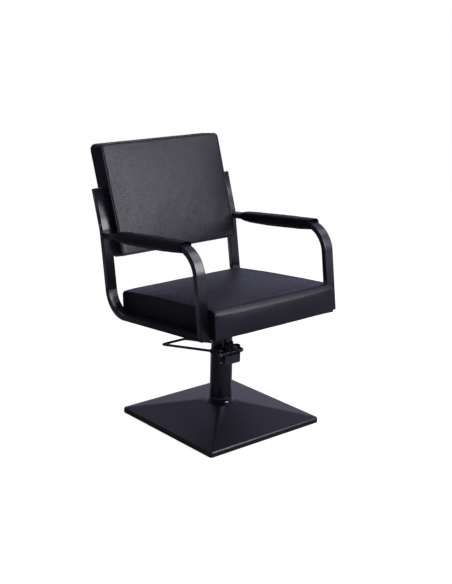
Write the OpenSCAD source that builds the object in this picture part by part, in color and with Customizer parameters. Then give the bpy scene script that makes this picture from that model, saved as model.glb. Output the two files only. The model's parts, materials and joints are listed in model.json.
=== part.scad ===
// Hydraulic hairdressing chair. It faces -Y and stands on z = 0, with the column on the Z axis.
// The seat assembly is drawn in its own frame, which tilted() tips back about the column head.

/* [Base] */
// Side of the square base
base_side = 520; // [440:5:600]
// Height of the upright rim of the base cover
rim_h = 21; // [16:1:30]
// Height of the flat land under the collar
land_z = 70; // [58:1:90]
// Side of the flat land under the collar
land_side = 108; // [106:1:130]
// Corner radius of the base seen from above
base_corner_r = 10; // [8:1:40]
// Radius pressed along the top of the rim
rim_edge_r = 5; // [3:1:8]
// Thickness of the pressed steel cover
sheet_t = 3; // [2:0.5:4]
// Thickness of the rubber sheet under the base
mat_t = 3; // [2:0.5:5]
// Thickness of the steel base plate
plate_t = 10; // [6:1:12]

/* [Column] */
// Outer radius of the column sleeve
column_r = 41; // [38:0.5:44]
// Wall of the column sleeve
sleeve_t = 2; // [1.5:0.25:2.5]
// Height of the top of the column sleeve
sleeve_top = 266; // [262:1:275]
// Bore radius of the pump cylinder
bore_r = 33; // [31:0.5:34]
// Length of ram that stays guided at the top of its rise
guide_length = 98; // [85:1:120]
// Radius of the chromed ram
ram_r = 25; // [22:0.5:27]
// Radius of the spigot that carries the seat
spigot_r = 18; // [16:0.5:20]
// How far the ram rises
lift_stroke = 150; // [120:5:170]
// Outer radius of the glossy collar
collar_r = 52; // [48:0.5:53]
// Height of the glossy collar
collar_h = 24; // [18:1:32]

/* [Pump lever] */
// Half width of the pump block
block_half_w = 36; // [34:0.5:38]
// Distance from the column axis to the front of the pump block
block_front = 64; // [62:0.5:68]
// Height of the underside of the pump block
block_z = 232; // [220:1:238]
// Height of the pump block's upper face
block_top = 265; // [258:0.5:265.5]
// Distance from the column axis to the lever shaft
shaft_out = 56; // [55.5:0.5:57]
// Height of the lever shaft
shaft_z = 274; // [273.5:0.5:280]
// Radius of the lever shaft
shaft_r = 4.5; // [4:0.25:5]
// Radius of the pedal rod
rod_r = 5; // [4:0.5:6]
// Distance from the column axis to the left pedal leg
left_leg = 59; // [58:1:66]
// Distance from the column axis to the right pedal leg
right_leg = 52; // [51:1:60]
// Distance along the legs from the shaft to the foot bar
leg_reach = 345; // [300:5:360]
// Slope of the pedal legs at rest, in degrees
leg_slope = 11; // [9:0.5:12]
// Bend radius of the pedal rod
rod_bend_r = 14; // [12:1:24]

/* [Steel frame] */
// Gap between the cushions and the side frames
side_gap = 4; // [3:0.5:8]
// Width of the frame tube, seen from the front
tube_w = 40; // [34:1:44]
// Thickness of the frame tube, seen from the side
tube_t = 20; // [18:1:24]
// Wall of the frame tube
tube_wall = 2; // [1.5:0.25:3]
// Height of the hub under the seat plate
hub_h = 41.7; // [38:0.1:60]
// How far the seat assembly is tipped back, in degrees
seat_tilt = 5; // [3:0.5:6]
// Distance from the column axis forward to the front posts
front_reach = 267; // [250:1:280]
// Distance from the column axis back to the rear posts
rear_reach = 273; // [265:1:290]
// Backward lean of the front posts, in degrees
front_lean = 3; // [0:0.5:5]
// Backward lean of the rear posts, in degrees
rear_lean = 4.4; // [2:0.2:6]
// Height of the top of the arms above the underside of the rails
arm_top = 315.5; // [295:0.5:330]
// How much the arms rise towards the front, in degrees
arm_rise = 1.2; // [0:0.2:2]
// Outer radius of the front bends
bend_r = 110; // [80:5:120]
// Outer radius of the rear bends
rear_bend_r = 104; // [70:1:110]
// Height of the weld that ends the rear bend
weld_z = 98; // [98:1:120]
// Height of the kink where the upper posts begin
kink_z = 318; // [318:1:340]
// Lean of the upper posts and the backrest, in degrees
back_lean = 13.7; // [11:0.1:16]
// Length of the upper posts above the kink
post_len = 148; // [135:1:200]

/* [Seat] */
// Width of the seat cushion
seat_w = 546; // [480:2:550]
// Distance from the column axis forward to the seat's front face
seat_front = 294; // [280:2:310]
// Distance from the column axis back to the seat's rear face
seat_rear = 233; // [210:1:236]
// Height of the seat's side seam above the rails' underside
seat_h = 104; // [92:1:120]
// How much lower the seat's rear edge is than its front edge
seat_drop = 7; // [0:1:12]
// Radius of the roll along the seat's front edge
front_roll = 22; // [16:1:44]
// Radius along the seat's rear edge
rear_roll = 16; // [10:1:30]
// Height of the crown in the middle of the seat
seat_crown = 12; // [6:1:18]
// How far the seat's side seams rise towards their middle
seam_rise = 5; // [0:1:8]
// How far the seat's front face swells
seat_swell = 8; // [4:1:10]
// How far the middles of the cushion sides draw in
draw_in = 4; // [2:0.5:6]
// Thickness of the seat's plywood board
board_t = 15; // [12:1:18]

/* [Backrest] */
// How much narrower each side of the back cushion is than the seat cushion
back_inset = 0; // [0:1:12]
// How much narrower each side of the back cushion is at the bottom
back_taper = 4; // [0:1:12]
// Height of the top of the back cushion above the kink
back_up = 302; // [270:1:340]
// Depth of the bottom of the back cushion below the kink
back_down = 105; // [90:1:108]
// Distance from the post middle to the front seam of the cushion
back_front = 40; // [32:1:46]
// Distance from the post middle forward to the seam between cushion and shell
back_seam = 10; // [10:0.5:12]
// Distance from the post middle to the rear face of the back shell
back_rear = 38; // [28:1:42]
// Crown of the cushion's front face
back_crown = 10; // [6:1:16]
// Radius of the roll along the top of the front face
back_roll = 12; // [8:1:18]
// Radius along the top and bottom of the back shell
shell_roll = 13; // [10:1:32]
// Thickness of the back's plywood board
back_board_t = 18; // [16:1:20]

/* [Arm pads] */
// Length of the arm pads
arm_pad_len = 386; // [300:2:400]
// Distance from the column axis forward to the front of the arm pads
arm_pad_front = 180; // [140:1:184]
// Padding thickness around the arm tube
arm_pad_t = 5.5; // [4.5:0.25:8]

/* [Hidden] */
$fn = 64;

// How far a cut runs past the face it opens
over = 1;
// Gap between faces that turn or slide past each other
run_gap = 0.3;
// Radial clearance of a running fit
fit_gap = 0.05;
// Gap between a soft piece and what it rests on
soft_gap = 0.3;
// How far straight bars run into a bend, and how much slimmer the bend is
lap = 0.3;
ease = 0.02;
// Thinnest slab that a hull is drawn from
slab = 0.5;

// Base
cover_lift = 1;
plate_gap = 4;
plate_side = base_side - 2 * (sheet_t + plate_gap);
plate_top = mat_t + plate_t;
flange_r = 70;
flange_t = 12;
flange_top = plate_top + flange_t;
flange_pcd = 112;
flange_bolt_r = 5;
bolt_head_h = 6.4;
bolt_head_r = 9.2;
washer_t = 2;
washer_r = 10;

// Column
cylinder_r = column_r - sleeve_t;
cylinder_floor = 10;
piston_room = 35;
ram_bottom = flange_top + cylinder_floor + piston_room;
head_plug = 20;
head_z = ram_bottom + lift_stroke + guide_length + head_plug;
head_t = 22;
cylinder_h = head_z + head_t;
bush_t = 4;
bush_r = ram_r + fit_gap + bush_t;
seal_t = 6;
ram_wall = 8;
ram_bore_r = ram_r - ram_wall;
ram_crown = 25;
piston_t = 20;
seal_groove = 4;
shoulder_up = 5;
shoulder_z = cylinder_h + shoulder_up;
thrust_t = 3;
thrust_r = 30;
hub_z = shoulder_z + thrust_t + run_gap;
seat_z = hub_z + hub_h;
hub_r = 32;
spigot_h = 23;
groove_h = 9;
groove_depth = 4;
groove_up = 9.5;
groove_z = shoulder_z + groove_up;
hub_screw_r = 4;
spigot_air = 1;

// Pump block and lever
ear_gap = 30;
ear_r = 8.5;
lever_bush_t = 1.5;
lever_bush_r = shaft_r + fit_gap + lever_bush_t;
toe_hub_r = 7.8;
toe_half_w = 9;
toe_reach = 14;
toe_drop = 2;
toe_rise = 6;
toe_play = 0.6;
plunger_behind = 10.5;
plunger_out = shaft_out - plunger_behind;
plunger_r = 3;
plunger_tip = 1.5;
plunger_seat_r = 4.4;
plunger_seat_t = 2;
plunger_neck = 7;
plunger_grip = 9.5;
plunger_room = 6;
well_r = 5;
well_depth = 14;
well_floor = block_top - well_depth;
plunger_top = shaft_z - toe_drop - toe_play;
seat_ring_z = plunger_top - plunger_r - plunger_neck;
spring_wire_r = 0.5;
spring_turns = 3;
spring_gap = 0.3;
socket_hub_r = 8.5;
socket_hub_end = 47;
socket_r = 8.5;
slim_r = 6.5;
socket_start = 11;
socket_end = 46;
slim_start = 22;
slim_end = 40;
slim_arm_r = 7.5;
slim_arm_x = 46;
socket_grip = 3;
arm_r = 8;
arm_at = 9;
arm_start = 40;
leg_rise = 13.5;
nut_r = 7;
nut_t = 6;
grub_r = 2.5;
grub_at = 30;
valve_r = 6.5;
valve_z = 244;
valve_h = 18;
valve_out = 50;
valve_stub_r = 4;
valve_stub = 7;
valve_pin_r = 4;
valve_pin_h = 3;
valve_nut_r = 6;
valve_nut_t = 4;

// Steel frame, in the seat's own frame
frame_w = seat_w + 2 * (side_gap + tube_w);
back_w = seat_w - 2 * back_inset;
rail_x = (frame_w - tube_w) / 2;
inner_x = frame_w / 2 - tube_w;
path_r = bend_r - tube_t / 2;
rear_path_r = rear_bend_r - tube_t / 2;
kink_r = 40;
bar_t = 8;
bar_w = 60;
bar_y = 80;
hub_plate_t = 8;
hub_plate_w = 200;
hub_plate_d = 220;
plate_bolt_x = 75;
plate_bolt_r = 4;
plate_bolt_head_r = 6.5;
plate_bolt_head_h = 5;
cap_t = 3;
cap_plug = 12;
cap_gap = 0.2;
board_screw_edge = 93;
board_screw_x = seat_w / 2 - board_screw_edge;
board_screw_r = 2.5;
board_screw_head_r = 5;
board_screw_head_h = 3;
board_screw_in = 10;

// Cushions
cushion_lift = 2;
board_rim = 9;
board_gap = 0.3;
back_board_rim = 9;
back_edge_r = 6;
back_side_r = 5;
shell_side_r = 4;
back_corner_r = 17;
spacer_r = 7;
screw_r = 3;
screw_head_r = 6;
screw_head_h = 3.5;
screw_in = 22;
screw_up_shares = [0.115, 0.8];
arm_pad_r = 8;
side_steps = 8;
corner_steps = 4;
roll_steps = 4;

// Points and directions in the seat's side plane, as [y, z]
function along(angle) = [cos(angle), sin(angle)];
function front_line(z) = -front_reach + tube_t / 2 / cos(front_lean) + z * tan(front_lean);
function rear_line(z) = rear_reach - tube_t / 2 / cos(rear_lean) + z * tan(rear_lean);
function arm_line(y) = arm_top - tube_t / 2 / cos(arm_rise) - y * tan(arm_rise);
rail_mid = tube_t / 2;
front_foot = [front_line(rail_mid), rail_mid];
rear_corner = [rear_line(rail_mid), rail_mid];
arm_corner_z = (arm_line(0) - front_line(0) * tan(arm_rise)) / (1 + tan(front_lean) * tan(arm_rise));
arm_corner = [front_line(arm_corner_z), arm_corner_z];
kink = [rear_line(kink_z), kink_z];
weld_up = max(weld_z, rail_mid + (rear_path_r * tan(45 - rear_lean / 2) + 2 * lap) * cos(rear_lean));
weld = [rear_line(weld_up), weld_up];
arm_end_z = (arm_line(0) - rear_line(0) * tan(arm_rise)) / (1 + tan(rear_lean) * tan(arm_rise));
arm_end = [rear_line(arm_end_z), arm_end_z];
post_top = kink + post_len * [sin(back_lean), cos(back_lean)];

// Frames of the assembly

module tilted() {
    translate([0, 0, seat_z]) rotate([-seat_tilt, 0, 0]) children();
}

// The backrest's own frame: x across, y back, z up along the upper posts, from the kink
module backrest() {
    tilted() translate([0, kink[0], kink[1]]) rotate([-back_lean, 0, 0]) children();
}

// The lever's own frame, on the shaft
module at_shaft() {
    translate([0, -shaft_out, shaft_z]) children();
}

module both_sides() {
    children();
    mirror([1, 0, 0]) children();
}

// Common shapes

module block(size, at) {
    translate(at) cube(size);
}

module ring(outer, inner, h) {
    difference() {
        cylinder(r = outer, h = h);
        translate([0, 0, -over]) cylinder(r = inner, h = h + 2 * over);
    }
}

module rod_x(r, from, to) {
    translate([from, 0, 0]) rotate([0, 90, 0]) cylinder(r = r, h = to - from);
}

module rounded_slab(side, r, z, h) {
    translate([0, 0, z]) linear_extrude(h) hull()
        for (x = [-1, 1], y = [-1, 1])
            translate([x * (side / 2 - r), y * (side / 2 - r)]) circle(r = r, $fn = 32);
}

// A straight bar of a w by t section between two points of the side plane
module bar(from, to, w, t) {
    run = to - from;
    translate([0, from[0], from[1]]) rotate([atan2(run[1], run[0]), 0, 0])
        translate([-w / 2, 0, -t / 2]) cube([w, norm(run), t]);
}

function turn(a, b, c) =
    let (u = (b - a) / norm(b - a), v = (c - b) / norm(c - b))
    atan2(u[0] * v[1] - u[1] * v[0], u * v);

// Two straight bars with a bend of centreline radius r between them
module bent_bar(a, b, c, r, w, t) {
    sweep = turn(a, b, c);
    trim = r * tan(abs(sweep) / 2);
    u = (b - a) / norm(b - a);
    v = (c - b) / norm(c - b);
    start = b - trim * u;
    side = sweep > 0 ? 1 : -1;
    centre = start + side * r * [-u[1], u[0]];
    heading = atan2(u[1], u[0]);
    bar(a, start + lap * u, w, t);
    bar(b + (trim - lap) * v, c, w, t);
    translate([0, centre[0], centre[1]]) rotate([heading - side * 90, 0, 0])
        rotate([90, 0, 90]) mirror([0, sweep > 0 ? 0 : 1, 0])
            rotate_extrude(angle = abs(sweep)) translate([r, 0])
                square([t - 2 * ease, w - 2 * ease], center = true);
}

// A hollow tube along the same route, open at both ends
module bent_tube(a, b, c, r) {
    u = (b - a) / norm(b - a);
    v = (c - b) / norm(c - b);
    difference() {
        bent_bar(a, b, c, r, tube_w, tube_t);
        bent_bar(a - over * u, b, c + over * v, r, tube_w - 2 * tube_wall, tube_t - 2 * tube_wall);
    }
}

// Everything on the rear side of a line through a point of the side plane
module half_space(at, angle) {
    reach = frame_w + arm_top;
    translate([0, at[0], at[1]]) rotate([angle, 0, 0])
        translate([-reach, 0, -reach]) cube([2 * reach, reach, 2 * reach]);
}

// Skins for the upholstery

// Triangles between neighbouring rings of n points, over m rings of which the last may join the first
function walls(n, m, joins) = [for (k = [0:m - (joins ? 1 : 2)]) for (i = [0:n - 1])
    let (j = (i + 1) % n, k2 = (k + 1) % m)
    for (f = [[k * n + i, k2 * n + i, k2 * n + j], [k * n + i, k2 * n + j, k * n + j]]) f];

// Rings of equal length with a fan over each end
module loft(rings) {
    n = len(rings[0]);
    m = len(rings);
    mean = [for (k = [0, m - 1]) [for (a = [0, 1, 2]) let (s = [for (p = rings[k]) p[a]]) sum(s) / n]];
    points = concat([for (r = rings) for (p = r) p], mean);
    lids = [for (i = [0:n - 1]) let (j = (i + 1) % n)
        for (f = [[m * n, i, j], [m * n + 1, (m - 1) * n + j, (m - 1) * n + i]]) f];
    polyhedron(points = points, faces = concat(walls(n, m, false), lids));
}

function sum(list, i = 0) = i == len(list) ? 0 : list[i] + sum(list, i + 1);

// Outline of a rounded rectangle, anticlockwise, with its long sides cut into steps
function outline(x, front, rear, r) =
    let (corners = [[x, front, 270], [x, rear, 0], [-x, rear, 90], [-x, front, 180]])
    [for (k = [0:3])
        let (c = corners[k], d = corners[(k + 1) % 4],
             mid = [c[0] - sign(c[0]) * r, c[1] - (c[1] == front ? -r : r)],
             next = [d[0] - sign(d[0]) * r, d[1] - (d[1] == front ? -r : r)],
             last = mid + r * along(c[2] + 90), first = next + r * along(d[2]))
        for (p = concat(
            [for (i = [0:corner_steps]) mid + r * along(c[2] + 90 * i / corner_steps)],
            [for (i = [1:side_steps - 1]) last + (first - last) * i / side_steps])) p];

// One level of a cushion: insets of the sides, front and rear, and how far the level has risen
function level(w, front, rear, z, inset, front_inset, rear_inset, r, pull, swell) =
    [for (p = outline(w / 2 - inset, front + front_inset, rear - rear_inset, r))
        let (mid = (front + rear) / 2, half = (rear - front) / 2,
             v = (p[1] - mid) / half, u = p[0] / (w / 2))
        [p[0] - sign(p[0]) * pull * max(0, 1 - v * v) * pow(abs(u), 8),
         p[1] - sign(v) * (v < 0 ? swell : -pull) * max(0, 1 - u * u) * pow(abs(v), 8), z]];

// The crowned face above the seam, from the seam to its middle
function crown_level(w, front, rear, z, crown, share, r) =
    let (mid = (front + rear) / 2, half = (rear - front) / 2)
    [for (p = outline(w / 2 * share, mid - half * share, mid + half * share, max(r * share, slab)))
        let (u = 2 * p[0] / w, v = (p[1] - mid) / half)
        [p[0], p[1], z + crown * (1 - pow(abs(u), 3)) * (1 - pow(abs(v), 3))]];

crown_shares = [0.93, 0.8, 0.55, 0.25];

// A boxed cushion standing on z = 0, crowned on top, with rolled front and rear edges
// Its rear end is narrower by taper on each side and lower by drop, and its side seams rise in the middle
module cushion(w, front, rear, h, front_r, rear_r, side_r, corner_r, crown, pull, swell, taper, drop, rise) {
    rolls = [for (i = [0:roll_steps]) 90 * i / roll_steps];
    big = max(front_r, rear_r, side_r);
    function roll(r, angle) =
        r == 0 ? 0 : r - sqrt(max(0, r * r - pow(max(0, big * sin(angle) - (big - r)), 2)));
    top_front = front + front_r;
    top_rear = rear - rear_r;
    function shaped(p) = let (s = (p[1] - front) / (rear - front))
        [p[0] * (1 - 2 * s * taper / w), p[1], p[2] * (1 - (s * drop - 4 * s * (1 - s) * rise) / h)];
    rings = concat(
        [level(w, front, rear, 0, side_r / 4, swell / 2, pull / 2, corner_r, pull / 2, 0)],
        [level(w, front, rear, (h - big) / 2, 0, 0, 0, corner_r, pull, swell)],
        [for (a = rolls) level(w, front, rear, h - big + big * sin(a), roll(side_r, a), roll(front_r, a),
            roll(rear_r, a), corner_r, pull * cos(a), swell * cos(a))],
        [for (s = crown_shares) crown_level(w - 2 * side_r, top_front, top_rear, h, crown, s, corner_r)]);
    loft([for (r = rings) [for (p = r) shaped(p)]]);
}

// Base

module floor_mat() {
    color("#1a1a1a") rounded_slab(plate_side, base_corner_r, 0, mat_t);
}

module base_plate() {
    color("#2b2b2f") difference() {
        rounded_slab(plate_side, base_corner_r, mat_t, plate_t);
        for (a = [45:90:315]) rotate(a) translate([flange_pcd / 2, 0, mat_t + over])
            cylinder(r = flange_bolt_r, h = plate_t);
    }
}

module cover_form(inset, bottom) {
    side = base_side - 2 * inset;
    r = base_corner_r - inset / 2;
    hull() {
        rounded_slab(side, r, bottom, slab);
        rounded_slab(side, r, rim_h - rim_edge_r - inset, slab);
        rounded_slab(side - rim_edge_r, r - rim_edge_r / 2, rim_h - rim_edge_r / 4 - inset, slab);
        rounded_slab(land_side, r, land_z - inset - slab, slab);
    }
}

module base_cover() {
    color("#26262b") difference() {
        cover_form(0, cover_lift);
        cover_form(sheet_t, cover_lift - over);
        cylinder(r = column_r + run_gap, h = land_z + over);
    }
}

module column_collar() {
    flare = collar_r - column_r - over;
    lip = collar_h / 8;
    steps = 10;
    color("#101014") translate([0, 0, land_z]) rotate_extrude() polygon(concat(
        [[column_r, 0], [collar_r, 0], [collar_r, lip]],
        [for (i = [1:steps - 1]) let (a = 90 * i / steps)
            [collar_r - flare * sin(a), collar_h - (collar_h - lip) * cos(a)]],
        [[column_r + over, collar_h], [column_r, collar_h]]));
}

module pump_flange() {
    color("#33333a") translate([0, 0, plate_top]) difference() {
        cylinder(r = flange_r, h = flange_t);
        for (a = [45:90:315]) rotate(a) translate([flange_pcd / 2, 0, -over])
            cylinder(r = flange_bolt_r, h = flange_t + 2 * over);
    }
}

module flange_bolts() {
    color("silver") for (a = [45:90:315]) rotate(a) translate([flange_pcd / 2, 0, 0]) {
        translate([0, 0, mat_t + over]) cylinder(r = flange_bolt_r, h = flange_top - mat_t - over);
        translate([0, 0, flange_top]) cylinder(r = washer_r, h = washer_t);
        translate([0, 0, flange_top + washer_t]) cylinder(r = bolt_head_r, h = bolt_head_h, $fn = 6);
    }
}

// Column

module pump_cylinder() {
    color("#17171b") translate([0, 0, flange_top]) difference() {
        cylinder(r = cylinder_r, h = head_z - flange_top);
        translate([0, 0, cylinder_floor]) cylinder(r = bore_r, h = head_z - flange_top);
    }
}

module column_sleeve() {
    color("#121216") difference() {
        translate([0, 0, flange_top]) ring(column_r, cylinder_r, sleeve_top - flange_top);
        block([2 * (block_half_w + run_gap), column_r + over, sleeve_top],
            [-block_half_w - run_gap, -column_r - over, block_z - run_gap]);
    }
}

module cylinder_head() {
    color("#1c1c21") difference() {
        union() {
            translate([0, 0, head_z]) cylinder(r = cylinder_r, h = head_t);
            translate([0, 0, head_z - head_plug]) cylinder(r = bore_r, h = head_plug);
        }
        translate([0, 0, head_z - head_plug - over]) cylinder(r = bush_r, h = head_t + head_plug + 2 * over);
    }
}

module guide_bush() {
    color("#b08d57") translate([0, 0, head_z - head_plug])
        ring(bush_r, ram_r + fit_gap, head_t + head_plug - seal_t);
}

module wiper_seal() {
    color("#202020") translate([0, 0, cylinder_h - seal_t]) ring(bush_r, ram_r + run_gap, seal_t);
}

module ear(side) {
    width = block_half_w - ear_gap;
    from = side > 0 ? ear_gap : -block_half_w;
    block([width, 2 * ear_r, shaft_z - block_top], [from, -shaft_out - ear_r, block_top]);
    at_shaft() rod_x(ear_r, from, from + width);
}

module pump_block() {
    depth = block_front - cylinder_r / 2;
    color("#2a2a31") difference() {
        union() {
            block([2 * block_half_w, depth, block_top - block_z], [-block_half_w, -block_front, block_z]);
            for (side = [-1, 1]) ear(side);
        }
        cylinder(r = cylinder_r, h = cylinder_h);
        at_shaft() rod_x(lever_bush_r, -block_half_w - over, block_half_w + over);
        translate([0, -plunger_out, well_floor]) cylinder(r = well_r, h = cylinder_h - well_floor);
        translate([0, -plunger_out, well_floor - plunger_grip - plunger_room])
            cylinder(r = plunger_r + fit_gap, h = plunger_grip + plunger_room + over);
    }
}

module shaft_bushes() {
    color("#b08d57") at_shaft() both_sides() difference() {
        rod_x(lever_bush_r, ear_gap, block_half_w);
        rod_x(shaft_r + fit_gap, ear_gap - over, block_half_w + over);
    }
}

module at_valve() {
    translate([-block_half_w - valve_stub, -valve_out, valve_z]) children();
}

module release_valve() {
    color("#141418") at_valve() {
        cylinder(r = valve_r, h = valve_h);
        translate([0, 0, valve_h]) cylinder(r = valve_pin_r, h = valve_pin_h);
        translate([0, 0, -valve_nut_t]) cylinder(r = valve_pin_r, h = valve_nut_t);
        translate([0, 0, valve_stub_r + over]) rod_x(valve_stub_r, 0, valve_stub);
    }
}

module valve_nut() {
    color("silver") at_valve() translate([0, 0, -valve_nut_t]) difference() {
        cylinder(r = valve_nut_r, h = valve_nut_t, $fn = 6);
        translate([0, 0, -over]) cylinder(r = valve_pin_r, h = valve_nut_t + 2 * over);
    }
}

// Ram

module ram() {
    color("#d8d8dc") difference() {
        union() {
            translate([0, 0, ram_bottom]) cylinder(r = ram_r, h = shoulder_z - ram_bottom);
            translate([0, 0, shoulder_z]) cylinder(r = spigot_r, h = spigot_h);
        }
        translate([0, 0, ram_bottom - over])
            cylinder(r = ram_bore_r, h = shoulder_z - ram_crown - ram_bottom + over);
        translate([0, 0, groove_z]) ring(spigot_r + over, spigot_r - groove_depth, groove_h);
    }
}

module piston() {
    color("#55555c") translate([0, 0, ram_bottom - piston_t]) difference() {
        union() {
            cylinder(r = bore_r - fit_gap, h = piston_t);
            cylinder(r = ram_bore_r, h = 2 * piston_t);
        }
        translate([0, 0, (piston_t - seal_groove) / 2]) ring(bore_r + over, bore_r - seal_groove, seal_groove);
    }
}

module piston_seal() {
    color("#202020") translate([0, 0, ram_bottom - (piston_t + seal_groove) / 2])
        ring(bore_r - fit_gap, bore_r - seal_groove, seal_groove);
}

module thrust_washer() {
    color("#b08d57") translate([0, 0, shoulder_z]) ring(thrust_r, spigot_r + fit_gap, thrust_t);
}

// Pump lever and pedal

module lever_toe() {
    half = ear_gap - run_gap;
    color("#0e0e11") at_shaft() difference() {
        union() {
            rod_x(toe_hub_r, -half, half);
            block([2 * toe_half_w, toe_reach, toe_drop + toe_rise], [-toe_half_w, 0, -toe_drop]);
        }
        rod_x(shaft_r, -half - over, half + over);
    }
}

module pedal_shaft() {
    color("#3a3a40") at_shaft() rod_x(shaft_r, -socket_hub_end - nut_t, socket_hub_end + nut_t);
}

// The legs' own frame: y runs back along the leg at its slope, from above the shaft
module leg_line() {
    translate([0, 0, leg_rise]) rotate([-leg_slope, 0, 0]) children();
}

// Hub round the shaft's end, drawn for the right-hand side
module socket_hub() {
    rod_x(socket_hub_r, block_half_w + run_gap, socket_hub_end);
}

// Room for the shaft, its nut, the rod and the grub screw
module socket_bores(leg, start) {
    rod_x(shaft_r, block_half_w, socket_hub_end + over);
    rod_x(nut_r + over, socket_hub_end, socket_hub_end + nut_t + over);
    leg_line() {
        translate([leg, start, 0]) rotate([-90, 0, 0]) cylinder(r = rod_r, h = socket_end);
        translate([leg, grub_at, 0]) cylinder(r = grub_r, h = socket_r + over);
    }
}

module pedal_socket_left() {
    color("#0e0e11") at_shaft() mirror([1, 0, 0]) difference() {
        union() {
            socket_hub();
            leg_line() {
                translate([0, arm_at, 0]) rod_x(arm_r, arm_start, left_leg);
                translate([left_leg, socket_start - socket_grip, 0]) rotate([-90, 0, 0])
                    cylinder(r = socket_r, h = socket_end - socket_start + socket_grip);
            }
        }
        socket_bores(left_leg, socket_start);
    }
}

module pedal_socket_right() {
    reach = slim_start + socket_grip;
    foot = [reach * cos(leg_slope), leg_rise - reach * sin(leg_slope)];
    color("#0e0e11") at_shaft() difference() {
        union() {
            socket_hub();
            translate([slim_arm_x, 0, 0]) rotate([atan2(foot[1], foot[0]) - 90, 0, 0])
                cylinder(r = slim_arm_r, h = norm(foot));
            leg_line() translate([right_leg, slim_start - socket_grip, 0]) rotate([-90, 0, 0])
                cylinder(r = slim_r, h = slim_end - slim_start + socket_grip);
        }
        socket_bores(right_leg, slim_start);
    }
}

module rod_leg(x, start) {
    bend_at = leg_reach - rod_bend_r;
    mirror([x > 0 ? 0 : 1, 0, 0]) {
        translate([abs(x), start, 0]) rotate([-90, 0, 0]) cylinder(r = rod_r, h = bend_at - start);
        translate([abs(x) - rod_bend_r, bend_at, 0])
            rotate_extrude(angle = 90) translate([rod_bend_r, 0]) circle(r = rod_r);
    }
}

module pedal_rod() {
    color("#0b0b0d") at_shaft() leg_line() {
        rod_leg(-left_leg, socket_start);
        rod_leg(right_leg, slim_start);
        translate([0, leg_reach, 0]) rod_x(rod_r, rod_bend_r - left_leg, right_leg - rod_bend_r);
    }
}

module shaft_nuts() {
    color("#17171b") at_shaft() both_sides()
        translate([socket_hub_end, 0, 0]) rotate([0, 90, 0]) difference() {
            cylinder(r = nut_r, h = nut_t, $fn = 6);
            translate([0, 0, -over]) cylinder(r = shaft_r, h = nut_t + 2 * over);
        }
}

module socket_screws() {
    color("silver") at_shaft() leg_line() {
        translate([-left_leg, grub_at, rod_r]) cylinder(r = grub_r, h = socket_r - rod_r);
        translate([right_leg, grub_at, rod_r]) cylinder(r = grub_r, h = slim_r - rod_r);
    }
}

module plunger() {
    bottom = well_floor - plunger_grip;
    color("silver") translate([0, -plunger_out, 0]) {
        translate([0, 0, bottom]) cylinder(r = plunger_r, h = plunger_top - plunger_tip - bottom);
        translate([0, 0, plunger_top - plunger_tip])
            cylinder(r1 = plunger_r, r2 = plunger_tip, h = plunger_tip);
        translate([0, 0, seat_ring_z]) cylinder(r = plunger_seat_r, h = plunger_seat_t);
    }
}

// Return spring of the plunger, as one coil of round wire
module plunger_spring() {
    sides = 6;
    per_turn = 12;
    coil_r = plunger_r + spring_gap + spring_wire_r;
    low = well_floor + spring_gap + spring_wire_r;
    rise = seat_ring_z - spring_gap - spring_wire_r - low;
    color("#9a9aa0") translate([0, -plunger_out, 0]) loft([for (i = [0:spring_turns * per_turn])
        let (a = 360 * i / per_turn, z = low + rise * i / (spring_turns * per_turn))
        [for (k = [0:sides - 1]) let (b = 360 * k / sides, r = coil_r + spring_wire_r * cos(b))
            [r * cos(a), r * sin(a), z + spring_wire_r * sin(b)]]]);
}

// Seat carrier

module seat_hub() {
    color("#1b1b20") difference() {
        translate([0, 0, hub_z]) cylinder(r = hub_r, h = seat_z - hub_z);
        tilted() block([4 * hub_r, 4 * hub_r, seat_z], [-2 * hub_r, -2 * hub_r, -hub_plate_t]);
        translate([0, 0, hub_z - over])
            cylinder(r = spigot_r + fit_gap, h = shoulder_z + spigot_h + spigot_air - hub_z + over);
        translate([0, 0, groove_z + groove_h / 2]) rod_x(hub_screw_r, -hub_r - over, hub_r + over);
    }
}

module hub_screws() {
    color("silver") translate([0, 0, groove_z + groove_h / 2]) both_sides()
        rod_x(hub_screw_r, spigot_r - groove_depth + run_gap, hub_r);
}

module hub_plate() {
    color("#1b1b20") tilted() difference() {
        block([hub_plate_w, hub_plate_d, hub_plate_t], [-hub_plate_w / 2, -hub_plate_d / 2, -hub_plate_t]);
        for (x = [-1, 1], y = [-1, 1]) translate([x * plate_bolt_x, y * bar_y, -hub_plate_t - over])
            cylinder(r = plate_bolt_r, h = hub_plate_t + 2 * over);
    }
}

module plate_bolts() {
    color("silver") tilted() for (x = [-1, 1], y = [-1, 1])
        translate([x * plate_bolt_x, y * bar_y, -hub_plate_t]) {
            cylinder(r = plate_bolt_r, h = hub_plate_t + bar_t);
            translate([0, 0, -plate_bolt_head_h])
                cylinder(r = plate_bolt_head_r, h = plate_bolt_head_h, $fn = 6);
        }
}

module cross_bar(side) {
    color("#1b1b20") tilted() difference() {
        block([2 * inner_x, bar_w, bar_t], [-inner_x, side * bar_y - bar_w / 2, 0]);
        for (x = [-plate_bolt_x, plate_bolt_x]) translate([x, side * bar_y, -over])
            cylinder(r = plate_bolt_r, h = bar_t + 2 * over);
        for (x = [-board_screw_x, board_screw_x]) translate([x, side * bar_y, -over])
            cylinder(r = board_screw_r, h = bar_t + 2 * over);
    }
}

module cross_bar_front() {
    cross_bar(-1);
}

module cross_bar_rear() {
    cross_bar(1);
}

// Side frames

module mitre() {
    half_space(front_foot, 45 - front_lean / 2 - 90);
}

module seat_rail(side) {
    ahead = front_foot - [2 * tube_t, 0];
    color("#1d1d22") tilted() translate([side * rail_x, 0, 0]) intersection() {
        bent_tube(ahead, rear_corner, weld, rear_path_r);
        mitre();
    }
}

module seat_rail_left() {
    seat_rail(-1);
}

module seat_rail_right() {
    seat_rail(1);
}

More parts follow.
